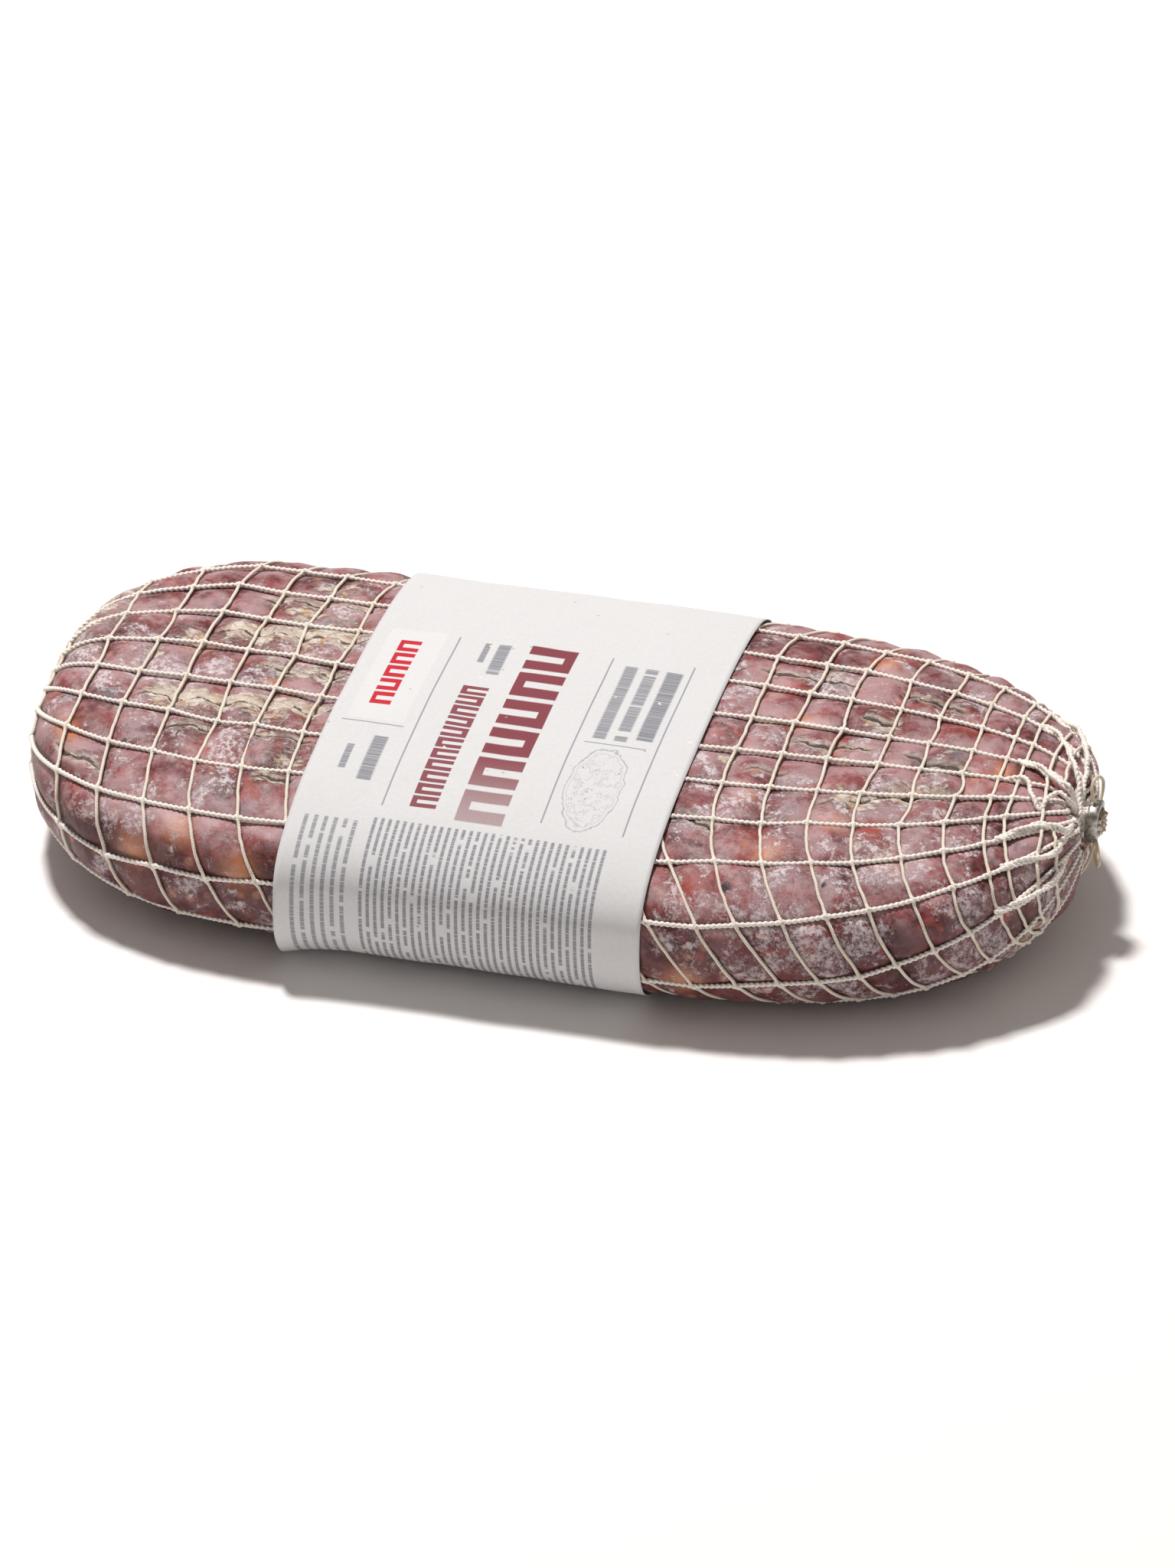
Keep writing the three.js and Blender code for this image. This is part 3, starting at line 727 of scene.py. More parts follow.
# %% Yarn tree
def yarn_tree():
    tree = bpy.data.node_groups.new("twisted_yarn", "GeometryNodeTree")
    interface = tree.interface
    interface.new_socket("Geometry", in_out="INPUT", socket_type="NodeSocketGeometry")
    for name in ("Radius", "Step", "Pitch", "Lobes", "Lobe Depth"):
        interface.new_socket(name, in_out="INPUT", socket_type="NodeSocketFloat")
    interface.new_socket("Sides", in_out="INPUT", socket_type="NodeSocketInt")
    interface.new_socket("Material", in_out="INPUT", socket_type="NodeSocketMaterial")
    interface.new_socket("Geometry", in_out="OUTPUT", socket_type="NodeSocketGeometry")
    given = tree.nodes.new("NodeGroupInput").outputs
    line = add(tree, "GeometryNodeMeshToCurve", {"Mesh": given["Geometry"]}).outputs[0]
    thickness = add(tree, "GeometryNodeInputNamedAttribute", {"Name": "thickness"}, data_type="FLOAT")
    line = add(tree, "GeometryNodeSetCurveRadius", {"Curve": line, "Radius": thickness.outputs[0]}).outputs[0]
    resample = add(
        tree, "GeometryNodeResampleCurve", {"Curve": line, "Length": given["Step"]}, mode="LENGTH"
    )
    along = add(tree, "GeometryNodeSplineParameter").outputs["Length"]
    turns = add(tree, "ShaderNodeMath", {0: along, 1: given["Pitch"]}, operation="DIVIDE").outputs[0]
    tilt = add(tree, "ShaderNodeMath", {0: turns, 1: 2 * math.pi}, operation="MULTIPLY").outputs[0]
    line = add(tree, "GeometryNodeSetCurveTilt", {"Curve": resample.outputs[0], "Tilt": tilt}).outputs[0]
    size = {"Resolution": given["Sides"], "Radius": given["Radius"]}
    circle = add(tree, "GeometryNodeCurvePrimitiveCircle", size)
    position = add(tree, "GeometryNodeInputPosition").outputs[0]
    apart_ = add(tree, "ShaderNodeSeparateXYZ", {0: position}).outputs
    angle = add(tree, "ShaderNodeMath", {0: apart_[1], 1: apart_[0]}, operation="ARCTAN2").outputs[0]
    lobed = add(tree, "ShaderNodeMath", {0: angle, 1: given["Lobes"]}, operation="MULTIPLY").outputs[0]
    wave = add(tree, "ShaderNodeMath", {0: lobed}, operation="COSINE").outputs[0]
    wave = add(tree, "ShaderNodeMath", {0: wave, 1: given["Lobe Depth"]}, operation="MULTIPLY").outputs[0]
    grow = add(tree, "ShaderNodeMath", {0: wave, 1: 1.0}, operation="ADD").outputs[0]
    shaped = add(tree, "ShaderNodeVectorMath", {0: position, "Scale": grow}, operation="SCALE").outputs[0]
    lobes = {"Geometry": circle.outputs[0], "Position": shaped}
    profile = add(tree, "GeometryNodeSetPosition", lobes).outputs[0]
    swept = {"Curve": line, "Profile Curve": profile, "Fill Caps": True}
    sweep = add(tree, "GeometryNodeCurveToMesh", swept)
    if "Scale" in sweep.inputs:
        tree.links.new(add(tree, "GeometryNodeInputRadius").outputs[0], sweep.inputs["Scale"])
    real = add(tree, "GeometryNodeRealizeInstances", {0: sweep.outputs[0]}).outputs[0]
    coated = {"Geometry": real, "Material": given["Material"]}
    done = add(tree, "GeometryNodeSetMaterial", coated).outputs[0]
    out = tree.nodes.new("NodeGroupOutput")
    tree.links.new(done, out.inputs[0])
    return tree

# %% [markdown]
# A line of points goes through the tree once and comes back as a plain mesh, so nothing is left to evaluate.
# The cord has two plies and a long twist; the thinner yarn has three and a tighter one.

# %% Spinning a yarn
tree_of_yarn = yarn_tree()
sockets = {
    item.name: item.identifier
    for item in tree_of_yarn.interface.items_tree
    if item.item_type == "SOCKET" and item.in_out == "INPUT"
}


def spin(name, path, thickness, material, closed=False, **values):
    """A yarn along points in mm, as a plain mesh object."""
    path = np.asarray(path) + SHIFT
    edges = [(i, i + 1) for i in range(len(path) - 1)]
    if closed:
        edges.append((len(path) - 1, 0))
    line = bpy.data.meshes.new(name + "_line")
    line.from_pydata((path * MM).tolist(), edges, [])
    layer = line.attributes.new("thickness", "FLOAT", "POINT")
    layer.data.foreach_set("value", np.broadcast_to(thickness, len(path)).astype(np.float32))
    draft = bpy.data.objects.new(name + "_draft", line)
    bpy.context.collection.objects.link(draft)
    modifier = draft.modifiers.new("yarn", "NODES")
    modifier.node_group = tree_of_yarn
    for key, value in values.items():
        modifier[sockets[key.replace("_", " ")]] = value
    modifier[sockets["Material"]] = material
    draft.update_tag()
    bpy.context.view_layer.update()
    solid = draft.evaluated_get(bpy.context.evaluated_depsgraph_get())
    mesh = bpy.data.meshes.new_from_object(solid)
    mesh.name = name
    bpy.data.objects.remove(draft)
    obj = bpy.data.objects.new(name, mesh)
    bpy.context.collection.objects.link(obj)
    mesh.polygons.foreach_set("use_smooth", [True] * len(mesh.polygons))
    return obj


STRAND = {"Radius": 0.00067, "Step": 0.00045, "Pitch": 0.0034, "Lobes": 2.0, "Lobe_Depth": 0.2, "Sides": 10}
HOOP = {"Radius": 0.00052, "Step": 0.00050, "Pitch": 0.0026, "Lobes": 3.0, "Lobe_Depth": 0.16, "Sides": 9}

# %% [markdown]
# Cotton is matt and takes the light softly: cream where it lies bare, browner where grease from the sausage
# soaked in, which is a slow noise along the net.

# %% Yarn material
def yarn_material(name, light, dark, grease):
    material, tree, shader = new_material(name)
    where = add(tree, "ShaderNodeTexCoord").outputs["Object"]
    fibres = noise_value(tree, where, 2600, 4, 0.7)
    soaked = ramp(tree, noise_value(tree, where, 70, 4), 0.4, 0.72, 0, grease)
    tint = mix(tree, ramp(tree, fibres, 0.3, 0.7), colour(dark), colour(light))
    tint = mix(tree, soaked, tint, colour("C9A87C"))
    bump = add(tree, "ShaderNodeBump", {"Height": fibres, "Strength": 0.6, "Distance": 0.0002})
    feed(tree, shader, Base_Color=tint, Roughness=0.92, Normal=bump.outputs[0], Specular_IOR_Level=0.2,
         Sheen_Weight=0.3, Sheen_Roughness=0.6)
    return material


cord_cotton = yarn_material("cord_cotton", "FFFCF7", "F1E8DC", 0.08)
loop_cotton = yarn_material("loop_cotton", "FAF3E8", "E6D9C6", 0.25)

# %% [markdown]
# The end-to-end yarns run from dimple to dimple. At the nose they go on into the clip, bunched round the
# casing; at the rear they are tucked into the gather.

# %% End-to-end yarns
NOSE_CLIP_X = HALF - 0.8
clip_centre = np.array([NOSE_CLIP_X, NOSE["y"], NOSE["z"]])


def knots(h):
    """1 at a knot, 0 away from it."""
    away = np.abs(h - np.round(h)) * np.interp(h, np.arange(HOOPS - 1) + 0.5, np.diff(hoop_x))
    return np.where((h > -0.5) & (h < HOOPS - 0.5), np.exp(-((away / 1.0) ** 2)), 0)


h_line = np.concatenate([
    np.linspace(-0.37, 0, 10)[:-1],
    np.linspace(0, HOOPS - 1, 420),
    np.linspace(HOOPS - 1, HOOPS + 1.12, 40)[1:],
])
for k in range(STRANDS):
    c = np.full_like(h_line, float(k))
    spot, out = net_frame(h_line, c)
    sway = lumps(spot + 200 + k, 7, 2) * 0.25
    path = drawn_in(spot + out * (0.5 + 0.3 * knots(h_line))[:, None])
    path[:, 1] += sway * 0.6
    spare = np.linspace(0, 1, 14)[1:, None]
    angle = 2 * np.pi * (k + 0.5 * random.random()) / STRANDS
    ring = 2.5 + 0.9 * (k % 2)
    side = np.array([0, -math.cos(angle), math.sin(angle)]) * ring
    entry = clip_centre + side + [-0.5, 0, 0]
    start = path[-1]
    turning = entry + side * 0.35 + [-2.0, 0, 0]
    bend = start * (1 - spare) ** 2 + 2 * spare * (1 - spare) * turning + spare**2 * entry
    beyond = 3.0 + 3.0 * random.random()
    leave = entry + np.array([beyond, 0, 0]) + side * 0.25 * random.random()
    path = np.concatenate([path, bend, entry + (leave - entry) * np.linspace(0, 1, 8)[1:, None]])
    path[:, 2] = np.maximum(path[:, 2], PRESSED - 2.4)
    thick = np.ones(len(path))
    thick[: len(h_line)] += 0.28 * knots(h_line)
    obj = spin(f"net_strand_{k + 1:02d}_cord", path, thick, cord_cotton, **STRAND)
    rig.replaces(obj, f"net_strand_{k + 1:02d}")
    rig.ride(obj, "root")
    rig.slot(obj, "net_yarn")
print("end-to-end yarns", STRANDS, "points each", len(path))

# %% [markdown]
# Each yarn that goes round is one closed line, a little loose between two knots and pulled up over the cord
# at the knot itself.

# %% Yarns that go round
c_line = np.linspace(0, STRANDS, 900, endpoint=False)
for k in range(HOOPS):
    h = np.full_like(c_line, float(k))
    spot, out = net_frame(h, c_line)
    to_cord = np.minimum(np.mod(c_line, 1), 1 - np.mod(c_line, 1)) * np.linalg.norm(
        np.roll(spot, -1, 0) - spot, axis=1).sum() / STRANDS
    over = np.exp(-((to_cord / 1.3) ** 2))
    wave = lumps(spot + 400 + 13 * k, 5, 2)
    path = drawn_in(spot + out * (0.38 + 0.66 * over + 0.12 * wave)[:, None])
    path[:, 0] += wave * 0.3
    path[:, 2] = np.maximum(path[:, 2], PRESSED - 2.8)
    obj = spin(f"net_hoop_{k + 1:02d}_yarn", path, 1 + 0.3 * over, loop_cotton, closed=True, **HOOP)
    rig.replaces(obj, f"net_hoop_{k + 1:02d}")
    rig.ride(obj, "root")
    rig.slot(obj, "net_yarn")
print("hoops", HOOPS)

# %% [markdown]
# ## Tied ends
# The casing is twisted shut at each end and a soft aluminium wire is pressed round the twist, over the yarns.
# Past the clip a crumpled stub of casing is left. The stub is a ring swept along its axis with pleats that
# tighten where the wire grips; the clip is a flattened wire bent round, its two ends lapping.

# %% Casing and metal materials
def lathe_like(name, rings, material, replaced, slot):
    poles = [rings[0].mean(0), rings[-1].mean(0)]
    obj = grid_mesh(name, rings, poles, {})
    obj.data.materials.append(material)
    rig.replaces(obj, replaced)
    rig.ride(obj, "root")
    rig.slot(obj, slot)
    return obj


material, tree, shader = new_material("dry_casing")
where = add(tree, "ShaderNodeTexCoord").outputs["Object"]
creased = noise_value(tree, where, 700, 6, 0.7, 0.5)
dry = mix(tree, ramp(tree, creased, 0.3, 0.7), colour("A08A72"), colour("DDD0BA"))
bump = add(tree, "ShaderNodeBump", {"Height": creased, "Strength": 0.8, "Distance": 0.0005})
feed(tree, shader, Base_Color=dry, Roughness=0.6, Normal=bump.outputs[0])
casing_dry = material

material, tree, shader = new_material("clip_aluminium")
where = add(tree, "ShaderNodeTexCoord").outputs["Object"]
worn = noise_value(tree, where, 900, 4, 0.6)
grey = mix(tree, ramp(tree, worn, 0.3, 0.7), colour("807D77"), colour("C4C1BA"))
bump = add(tree, "ShaderNodeBump", {"Height": worn, "Strength": 0.3, "Distance": 0.0002})
rough = ramp(tree, worn, 0.2, 0.8, 0.3, 0.5)
feed(tree, shader, Base_Color=grey, Metallic=1.0, Roughness=rough, Normal=bump.outputs[0])
aluminium = material

# %% [markdown]
# Both ends are closed in the same way. The wire is bent to a rounded square, and where its two ends lap the
# metal stands out on one side and is notched on the other.

# %% Stubs and clips at both ends
theta = np.linspace(0, 2 * np.pi, 72, endpoint=False)
for place, end, side in (("front", NOSE, 1), ("rear", REAR, -1)):
    axis = np.array([side * HALF, end["y"], end["z"]])
    rings = []
    for along_axis in np.linspace(-5.0, 4.6, 32):
        grip = np.exp(-(((along_axis - 0.6) / 2.6) ** 2))
        radius = 4.3 - 2.3 * grip - (0.9 if along_axis > 3.6 else 0)
        pleat = np.sin(7 * theta + 1.3 * np.sin(2 * theta) + along_axis * 0.25)
        fold = 1 + (0.10 + 0.06 * (along_axis > 1.5)) * pleat
        ragged = 0.5 * np.sin(5 * theta + 1) + 0.3 * np.sin(11 * theta) if along_axis > 2.5 else 0 * theta
        x = axis[0] + side * (along_axis + ragged * (along_axis - 2.5) / 1.5 * (along_axis > 2.5))
        y = axis[1] - side * radius * fold * np.cos(theta)
        z = axis[2] + radius * fold * np.sin(theta)
        rings.append(np.stack([x, y, z], -1))
    lathe_like(f"{place}_casing_stub", np.array(rings), casing_dry, f"{place}_tail", "casing")

    bend = np.linspace(0, 2 * np.pi, 96, endpoint=False)
    tube = np.linspace(0, 2 * np.pi, 20, endpoint=False)
    flat = 2.6
    loop_y = 4.6 * np.sign(np.cos(bend)) * np.abs(np.cos(bend)) ** (2 / flat)
    loop_z = 5.0 * np.sign(np.sin(bend)) * np.abs(np.sin(bend)) ** (2 / flat)
    lap = 0.5 * np.exp(-(((bend - 4.1) / 0.25) ** 2)) - 0.45 * np.exp(-(((bend - 4.45) / 0.1) ** 2))
    rows_of_clip = []
    for angle in tube:
        outwards = np.sign(np.cos(angle)) * abs(math.cos(angle)) ** 0.6
        endways = np.sign(np.sin(angle)) * abs(math.sin(angle)) ** 0.6
        out_by = 1 + (1.15 + lap) * outwards / np.hypot(loop_y, loop_z)
        uneven = 1 + 0.1 * np.sin(bend * 2)
        x = axis[0] + side * (1.6 + 1.9 * endways * uneven + 0.25 * np.sin(bend))
        y, z = axis[1] + loop_y * out_by, axis[2] + loop_z * out_by
        rows_of_clip.append(np.stack([np.broadcast_to(x, bend.shape), y, z], -1))
    rows_of_clip = np.array(rows_of_clip)
    count, around = rows_of_clip.shape[:2]
    faces = []
    for i in range(count):
        for j in range(around):
            a, b = i * around + j, ((i + 1) % count) * around + j
            c, d = ((i + 1) % count) * around + (j + 1) % around, i * around + (j + 1) % around
            faces.append((a, d, c, b) if side > 0 else (a, b, c, d))
    mesh = bpy.data.meshes.new(f"{place}_wire_clip")
    mesh.from_pydata(((rows_of_clip.reshape(-1, 3) + SHIFT) * MM).tolist(), [], faces)
    mesh.polygons.foreach_set("use_smooth", [True] * len(faces))
    mesh.materials.append(aluminium)
    clip = bpy.data.objects.new(f"{place}_wire_clip", mesh)
    bpy.context.collection.objects.link(clip)
    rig.replaces(clip, f"{place}_clip")
    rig.ride(clip, "root")
    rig.slot(clip, "clip_metal")

# %% [markdown]
# Where the net was drawn together some yarns are left slack. They are given as (x, turn, height) on the skin
# of the nose, from where they leave the net to where they meet the others at the clip, and are smoothed into
# curves.

# %% Curves over the skin
def smooth_line(points, count=60):
    """A curve through points (Catmull-Rom), with that many points a span."""
    points = np.asarray(points, float)
    ends = np.concatenate([[2 * points[0] - points[1]], points, [2 * points[-1] - points[-2]]])
    out = []
    t = np.linspace(0, 1, max(count // len(points), 6), endpoint=False)[:, None]
    for a, b, c, d in zip(ends, ends[1:], ends[2:], ends[3:]):
        bent = (2 * a - 5 * b + 4 * c - d) * t**2 + (3 * b - a - 3 * c + d) * t**3
        out.append(0.5 * (2 * b + (c - a) * t + bent))
    return np.concatenate(out + [points[-1:]])


def above_skin(places):
    places = np.asarray(places, float)
    x, t = places[:, 0], places[:, 1]
    along = skin(x + 0.3, t) - skin(x - 0.3, t)
    around = skin(x, t + 0.002) - skin(x, t - 0.002)
    out = np.cross(along, around)
    out /= np.linalg.norm(out, axis=1, keepdims=True)
    return skin(x, t) + out * places[:, 2:3]

# %% [markdown]
# A bundle is two or three yarns that lie round each other on their way into the clip. One yarn folds back on
# itself before it gets there.

# %% Slack bundles at the nose
AT_CLIP = [(HALF - 2.2, -3.6, 44.4), (HALF - 0.6, -3.0, 43.4), (HALF + 2.0, -2.6, 43.0)]
UPPER = [(139.5, 0.353, 0.4), (144, 0.352, 1.6), (149.5, 0.325, 3.0), (151.5, 0.295, 4.2), (155, 0.26, 4.0)]
MIDDLE = [(137.5, 0.261, 0.3), (142.5, 0.258, 1.6), (147, 0.245, 2.8), (151, 0.230, 3.2), (154.5, 0.215, 3.4)]
FOLD = [(136.5, 0.223, 0.5), (141.5, 0.222, 2.8), (145.5, 0.186, 2.6), (148.6, 0.165, 1.6), (149.3, 0.182, 2.6),
        (151.5, 0.20, 3.2), (155, 0.19, 3.0)]
BUNDLE = [(139.0, 0.112, 0.3), (144.5, 0.122, 1.2), (149.5, 0.128, 2.0), (153.5, 0.118, 2.8), (156.5, 0.105, 2.4)]
LOWER = [(142.5, 0.067, 0.3), (147.5, 0.068, 1.2), (151, 0.066, 2.0), (155, 0.066, 2.2)]
BEHIND = [(143, 0.403, 0.4), (149, 0.400, 2.6), (153, 0.37, 3.0), (156, 0.32, 3.0)]
BENEATH = [(143, 0.013, 0.3), (148, 0.012, 1.4), (152, 0.015, 2.0), (156, 0.02, 2.2)]
SLACK = [
    # name, yarns in it, places on the skin, and how far above the others it enters the clip
    ("slack_upper", 2, UPPER, 2.4),
    ("slack_middle", 3, MIDDLE, 1.2),
    ("slack_fold", 1, FOLD, 0.6),
    ("slack_bundle", 3, BUNDLE, -0.9),
    ("slack_lower", 2, LOWER, -2.0),
    ("slack_back", 2, BEHIND, 3.0),
    ("slack_under", 2, BENEATH, -3.0),
]
for name, yarns, places, entry in SLACK:
    line = smooth_line(np.concatenate([above_skin(places), np.array(AT_CLIP) + [0, 0, entry]]), 130)
    travelled = np.concatenate([[0], np.cumsum(np.linalg.norm(np.diff(line, axis=0), axis=1))])
    for n in range(yarns):
        turned = travelled / 5.5 + 2 * np.pi * n / yarns
        apart_by = 0.62 if yarns > 1 else 0.0
        wobble = np.stack([
            0.3 * np.sin(travelled * 0.9 + n),
            0.35 * np.sin(travelled * 0.7 + 2 * n),
            0.35 * np.cos(travelled * 0.8 + n),
        ], -1)
        offset_line = np.stack([0 * turned, np.cos(turned), np.sin(turned)], -1) * apart_by
        obj = spin(f"{name}_{n + 1}", line + offset_line + wobble * 0.6, 1.0, cord_cotton, **STRAND)
        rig.ride(obj, "root")
        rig.slot(obj, "net_yarn")

# %% [markdown]
# Beyond the last knots, a few lengths of the thinner yarn lie across the others, loosely, round the nose.

# %% Slack yarns round the nose
SLACK_ROUND = [
    [(149.5, 0.455, 1.2), (148.6, 0.39, 1.7), (147.5, 0.33, 1.9), (147.2, 0.27, 1.7), (148.2, 0.215, 2.2),
     (149.8, 0.16, 2.0), (150.8, 0.10, 1.7), (151.6, 0.045, 1.6), (152.6, -0.01, 1.4), (153.6, -0.06, 1.4)],
    [(153.4, 0.42, 1.6), (152.4, 0.36, 2.6), (151.6, 0.30, 3.0), (152.4, 0.24, 2.4)],
    [(153.2, 0.13, 2.4), (154.6, 0.08, 2.4), (155.8, 0.02, 2.0), (156.2, -0.06, 1.8)],
]
for n, places in enumerate(SLACK_ROUND):
    line = smooth_line(above_skin(places), 200)
    line += np.stack([lumps(line + 50 * n, 4, 2) * 0.5] * 3, -1)
    obj = spin(f"slack_round_{n + 1}", line, 1.0, loop_cotton, **HOOP)
    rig.ride(obj, "root")
    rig.slot(obj, "net_yarn")

# %% [markdown]
# The tail of the netting yarn is left in small loops that stand up and hang down past the clip. Each is given
# by its angle round the clip, how far it reaches, how wide it spreads and how far it leans, in mm.

# %% Loops of thread
thread = yarn_material("waxed_thread", "F0E3CE", "CDB792", 0.3)
THREAD = {"Radius": 0.00052, "Step": 0.0004, "Pitch": 0.0022, "Lobes": 3.0, "Lobe_Depth": 0.14, "Sides": 9}
LOOPS = [(104, 13.5, 6.5, -1.0), (-62, 13.5, 7.5, 1.6), (-76, 17.0, 6.0, -4.0)]
for n, (angle, reach, spread, lean) in enumerate(LOOPS):
    angle = math.radians(angle)
    out = np.array([0, -math.cos(angle), math.sin(angle)])
    side = np.array([0.35, math.sin(angle), math.cos(angle)])
    side /= np.linalg.norm(side)
    root = np.array([HALF + 2.6, NOSE["y"], NOSE["z"]])
    leaving = [(2.0, -0.5, -0.8), (4.6, -0.9, 0)]
    loop = [(0.45, -0.5, 0.5), (0.85, -0.42, 1), (1.0, 0.05, 1.1), (0.82, 0.45, 0.8), (0.5, 0.40, 0.4)]
    returning = [(4.8, 0.8, -0.2), (2.0, 0.6, -0.9)]
    loop = [(4.0 + (reach - 4.0) * d, s * spread, lean * f) for d, s, f in loop]
    line = [root + out * d + side * s + np.array([f, 0, 0]) for d, s, f in leaving + loop + returning]
    obj = spin(f"thread_loop_{n + 1:02d}_yarn", smooth_line(line, 120), 1.0, thread, **THREAD)
    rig.replaces(obj, f"thread_loop_{n + 1:02d}")
    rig.ride(obj, "root")
    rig.slot(obj, "net_yarn")
print("ends done")

# %% [markdown]
# ## Paper band
# A strip of uncoated paper, wrapped round the middle and glued where its end laps over its start underneath.
# It is stiff, so it spans the hollows of the net, keeps nearly the same section along its whole width, and
# stands off the sausage where that narrows towards the rear. It is modelled as one closed sheet with a real
# thickness. Its UV map is in millimetres: u across the strip, v along it, up from the front edge.

# %% Paper band sheet
BAND_WIDTH, PAPER, LAP_AT, LAP = BAND_TO - BAND_FROM, 0.22, 0.735, 0.035
us = np.linspace(0, BAND_WIDTH, 75)
ws = np.linspace(0, 1 + LAP, 460)
widest = section([12.0])
outer = np.empty((len(us), len(ws), 3))
arc = np.empty((len(us), len(ws)))
fine_turn = np.linspace(0, 1, 1441)
for i, u in enumerate(us):
    x = BAND_FROM + u
    own = section([np.clip(x, BAND_FROM, BAND_TO)])
    y = 0.72 * widest[0][0] + 0.28 * own[0][0]
    z = 0.72 * widest[1][0] + 0.28 * own[1][0]
    y, z = evenly(y, z, fine_turn)
    normal = np.stack([-np.gradient(z), np.gradient(y)], -1)
    normal /= np.linalg.norm(normal, axis=1, keepdims=True)
    t = np.mod(fine_turn, 1)
    gap = 1.95 + 0.25 * np.cos(4 * np.pi * t)
    rear_edge = np.clip(1 - u / 26, 0, 1) ** 2
    nose_edge = np.clip(1 - (BAND_WIDTH - u) / 20, 0, 1) ** 2
    gap = gap + rear_edge * (3.4 * ease(apart(t, 0.955) / 0.11) + 0.5 * ease(apart(t, 0.20) / 0.08))
    gap = gap + nose_edge * (0.7 * ease(apart(t, 0.94) / 0.08) - 0.25)
    y, z = y + normal[:, 0] * gap, z + normal[:, 1] * gap
    length = np.concatenate([[0], np.cumsum(np.hypot(np.diff(y), np.diff(z)))])
    w = ws + LAP_AT
    lift = (PAPER + 0.12) * np.clip((ws - (1 - LAP)) / LAP, 0, 1)
    yy = np.interp(np.mod(w, 1), fine_turn, y)
    zz = np.interp(np.mod(w, 1), fine_turn, z)
    ny = np.interp(np.mod(w, 1), fine_turn, normal[:, 0])
    nz = np.interp(np.mod(w, 1), fine_turn, normal[:, 1])
    outer[i] = np.stack([np.full_like(w, x), yy + ny * lift, zz + nz * lift], -1)
    arc[i] = (w - 1) * length[-1]

# %% [markdown]
# The sheet flutters a little, rests on the table underneath and gets its thickness inwards. Its outer face,
# inner face, two long edges and two ends make one closed mesh.

# %% Paper band mesh
flutter = lumps(outer + 900, 26, 2) * 0.42 + lumps(outer * [1, 0.6, 0.6] + 300, 9, 2) * 0.10
along_us = np.gradient(outer, axis=0)
along_ws = np.gradient(outer, axis=1)
out = np.cross(along_us, along_ws)
out /= np.linalg.norm(out, axis=-1, keepdims=True)
outer = outer + out * flutter[..., None]
BAND_FLOOR = -SHIFT[2] + 0.3
outer[..., 2] = np.maximum(outer[..., 2], BAND_FLOOR)
inner = outer - out * PAPER
rows_u, rows_w = outer.shape[:2]
vertices = np.concatenate([outer.reshape(-1, 3), inner.reshape(-1, 3)]) + SHIFT
offset = rows_u * rows_w
faces = []
for i in range(rows_u - 1):
    for j in range(rows_w - 1):
        a, b = i * rows_w + j, (i + 1) * rows_w + j
        faces.append((a, b, b + 1, a + 1))
        faces.append((offset + a, offset + a + 1, offset + b + 1, offset + b))
for j in range(rows_w - 1):
    a, b = j, (rows_u - 1) * rows_w + j
    faces.append((a, a + 1, offset + a + 1, offset + a))
    faces.append((b + 1, b, offset + b, offset + b + 1))
for i in range(rows_u - 1):
    a, b = i * rows_w, (i + 1) * rows_w
    faces.append((b, a, offset + a, offset + b))
    a, b = a + rows_w - 1, b + rows_w - 1
    faces.append((a, b, offset + b, offset + a))
mesh = bpy.data.meshes.new("paper_band_sheet")
mesh.from_pydata((vertices * MM).tolist(), [], faces)
mesh.polygons.foreach_set("use_smooth", [True] * len(mesh.polygons))
uv = mesh.uv_layers.new(name="label_mm")
flat = np.stack([np.repeat(us, rows_w), arc.ravel()], -1)
flat = np.concatenate([flat, flat])
corner = np.empty(len(mesh.loops), dtype=np.int32)
mesh.loops.foreach_get("vertex_index", corner)
uv.data.foreach_set("uv", flat[corner].astype(np.float32).ravel())
band = bpy.data.objects.new("paper_band_sheet", mesh)
bpy.context.collection.objects.link(band)
print("band faces", len(mesh.polygons), "length mm", round(float(arc.max() - arc.min()), 1))

# %% [markdown]
# The print is drawn by the material in label millimetres, with plain shapes only: rules, rows of heavy bars,
# grey dashes in place of small print, and an oval outline.

# %% Paper band material
material, tree, shader = new_material("printed_paper")
label = add(tree, "ShaderNodeUVMap", uv_map="label_mm").outputs[0]
parts = add(tree, "ShaderNodeSeparateXYZ", {0: label}).outputs
across, upward = parts[0], parts[1]
where = add(tree, "ShaderNodeTexCoord").outputs["Object"]

# %% [markdown]
# The shapes of the print, each a value of 1 where the ink goes. A block is a pair of bars joined at one end,
# which has the weight of a large letter and spells nothing.

# %% Print shapes
def within(value, low, high, soft=0.12):
    """1 between low and high."""
    middle, half = (low + high) / 2, (high - low) / 2
    away = maths(tree, "ABSOLUTE", maths(tree, "SUBTRACT", value, middle))
    return ramp(tree, away, half + soft, half - soft)


def box_at(u0, u1, v0, v1):
    return maths(tree, "MULTIPLY", within(across, u0, u1), within(upward, v0, v1))


def cell_of(value, start, pitch):
    """Number of the cell and place within it, from 0 to 1."""
    scaled = maths(tree, "DIVIDE", maths(tree, "SUBTRACT", value, start), pitch)
    number = maths(tree, "FLOOR", scaled)
    return number, maths(tree, "SUBTRACT", scaled, number)


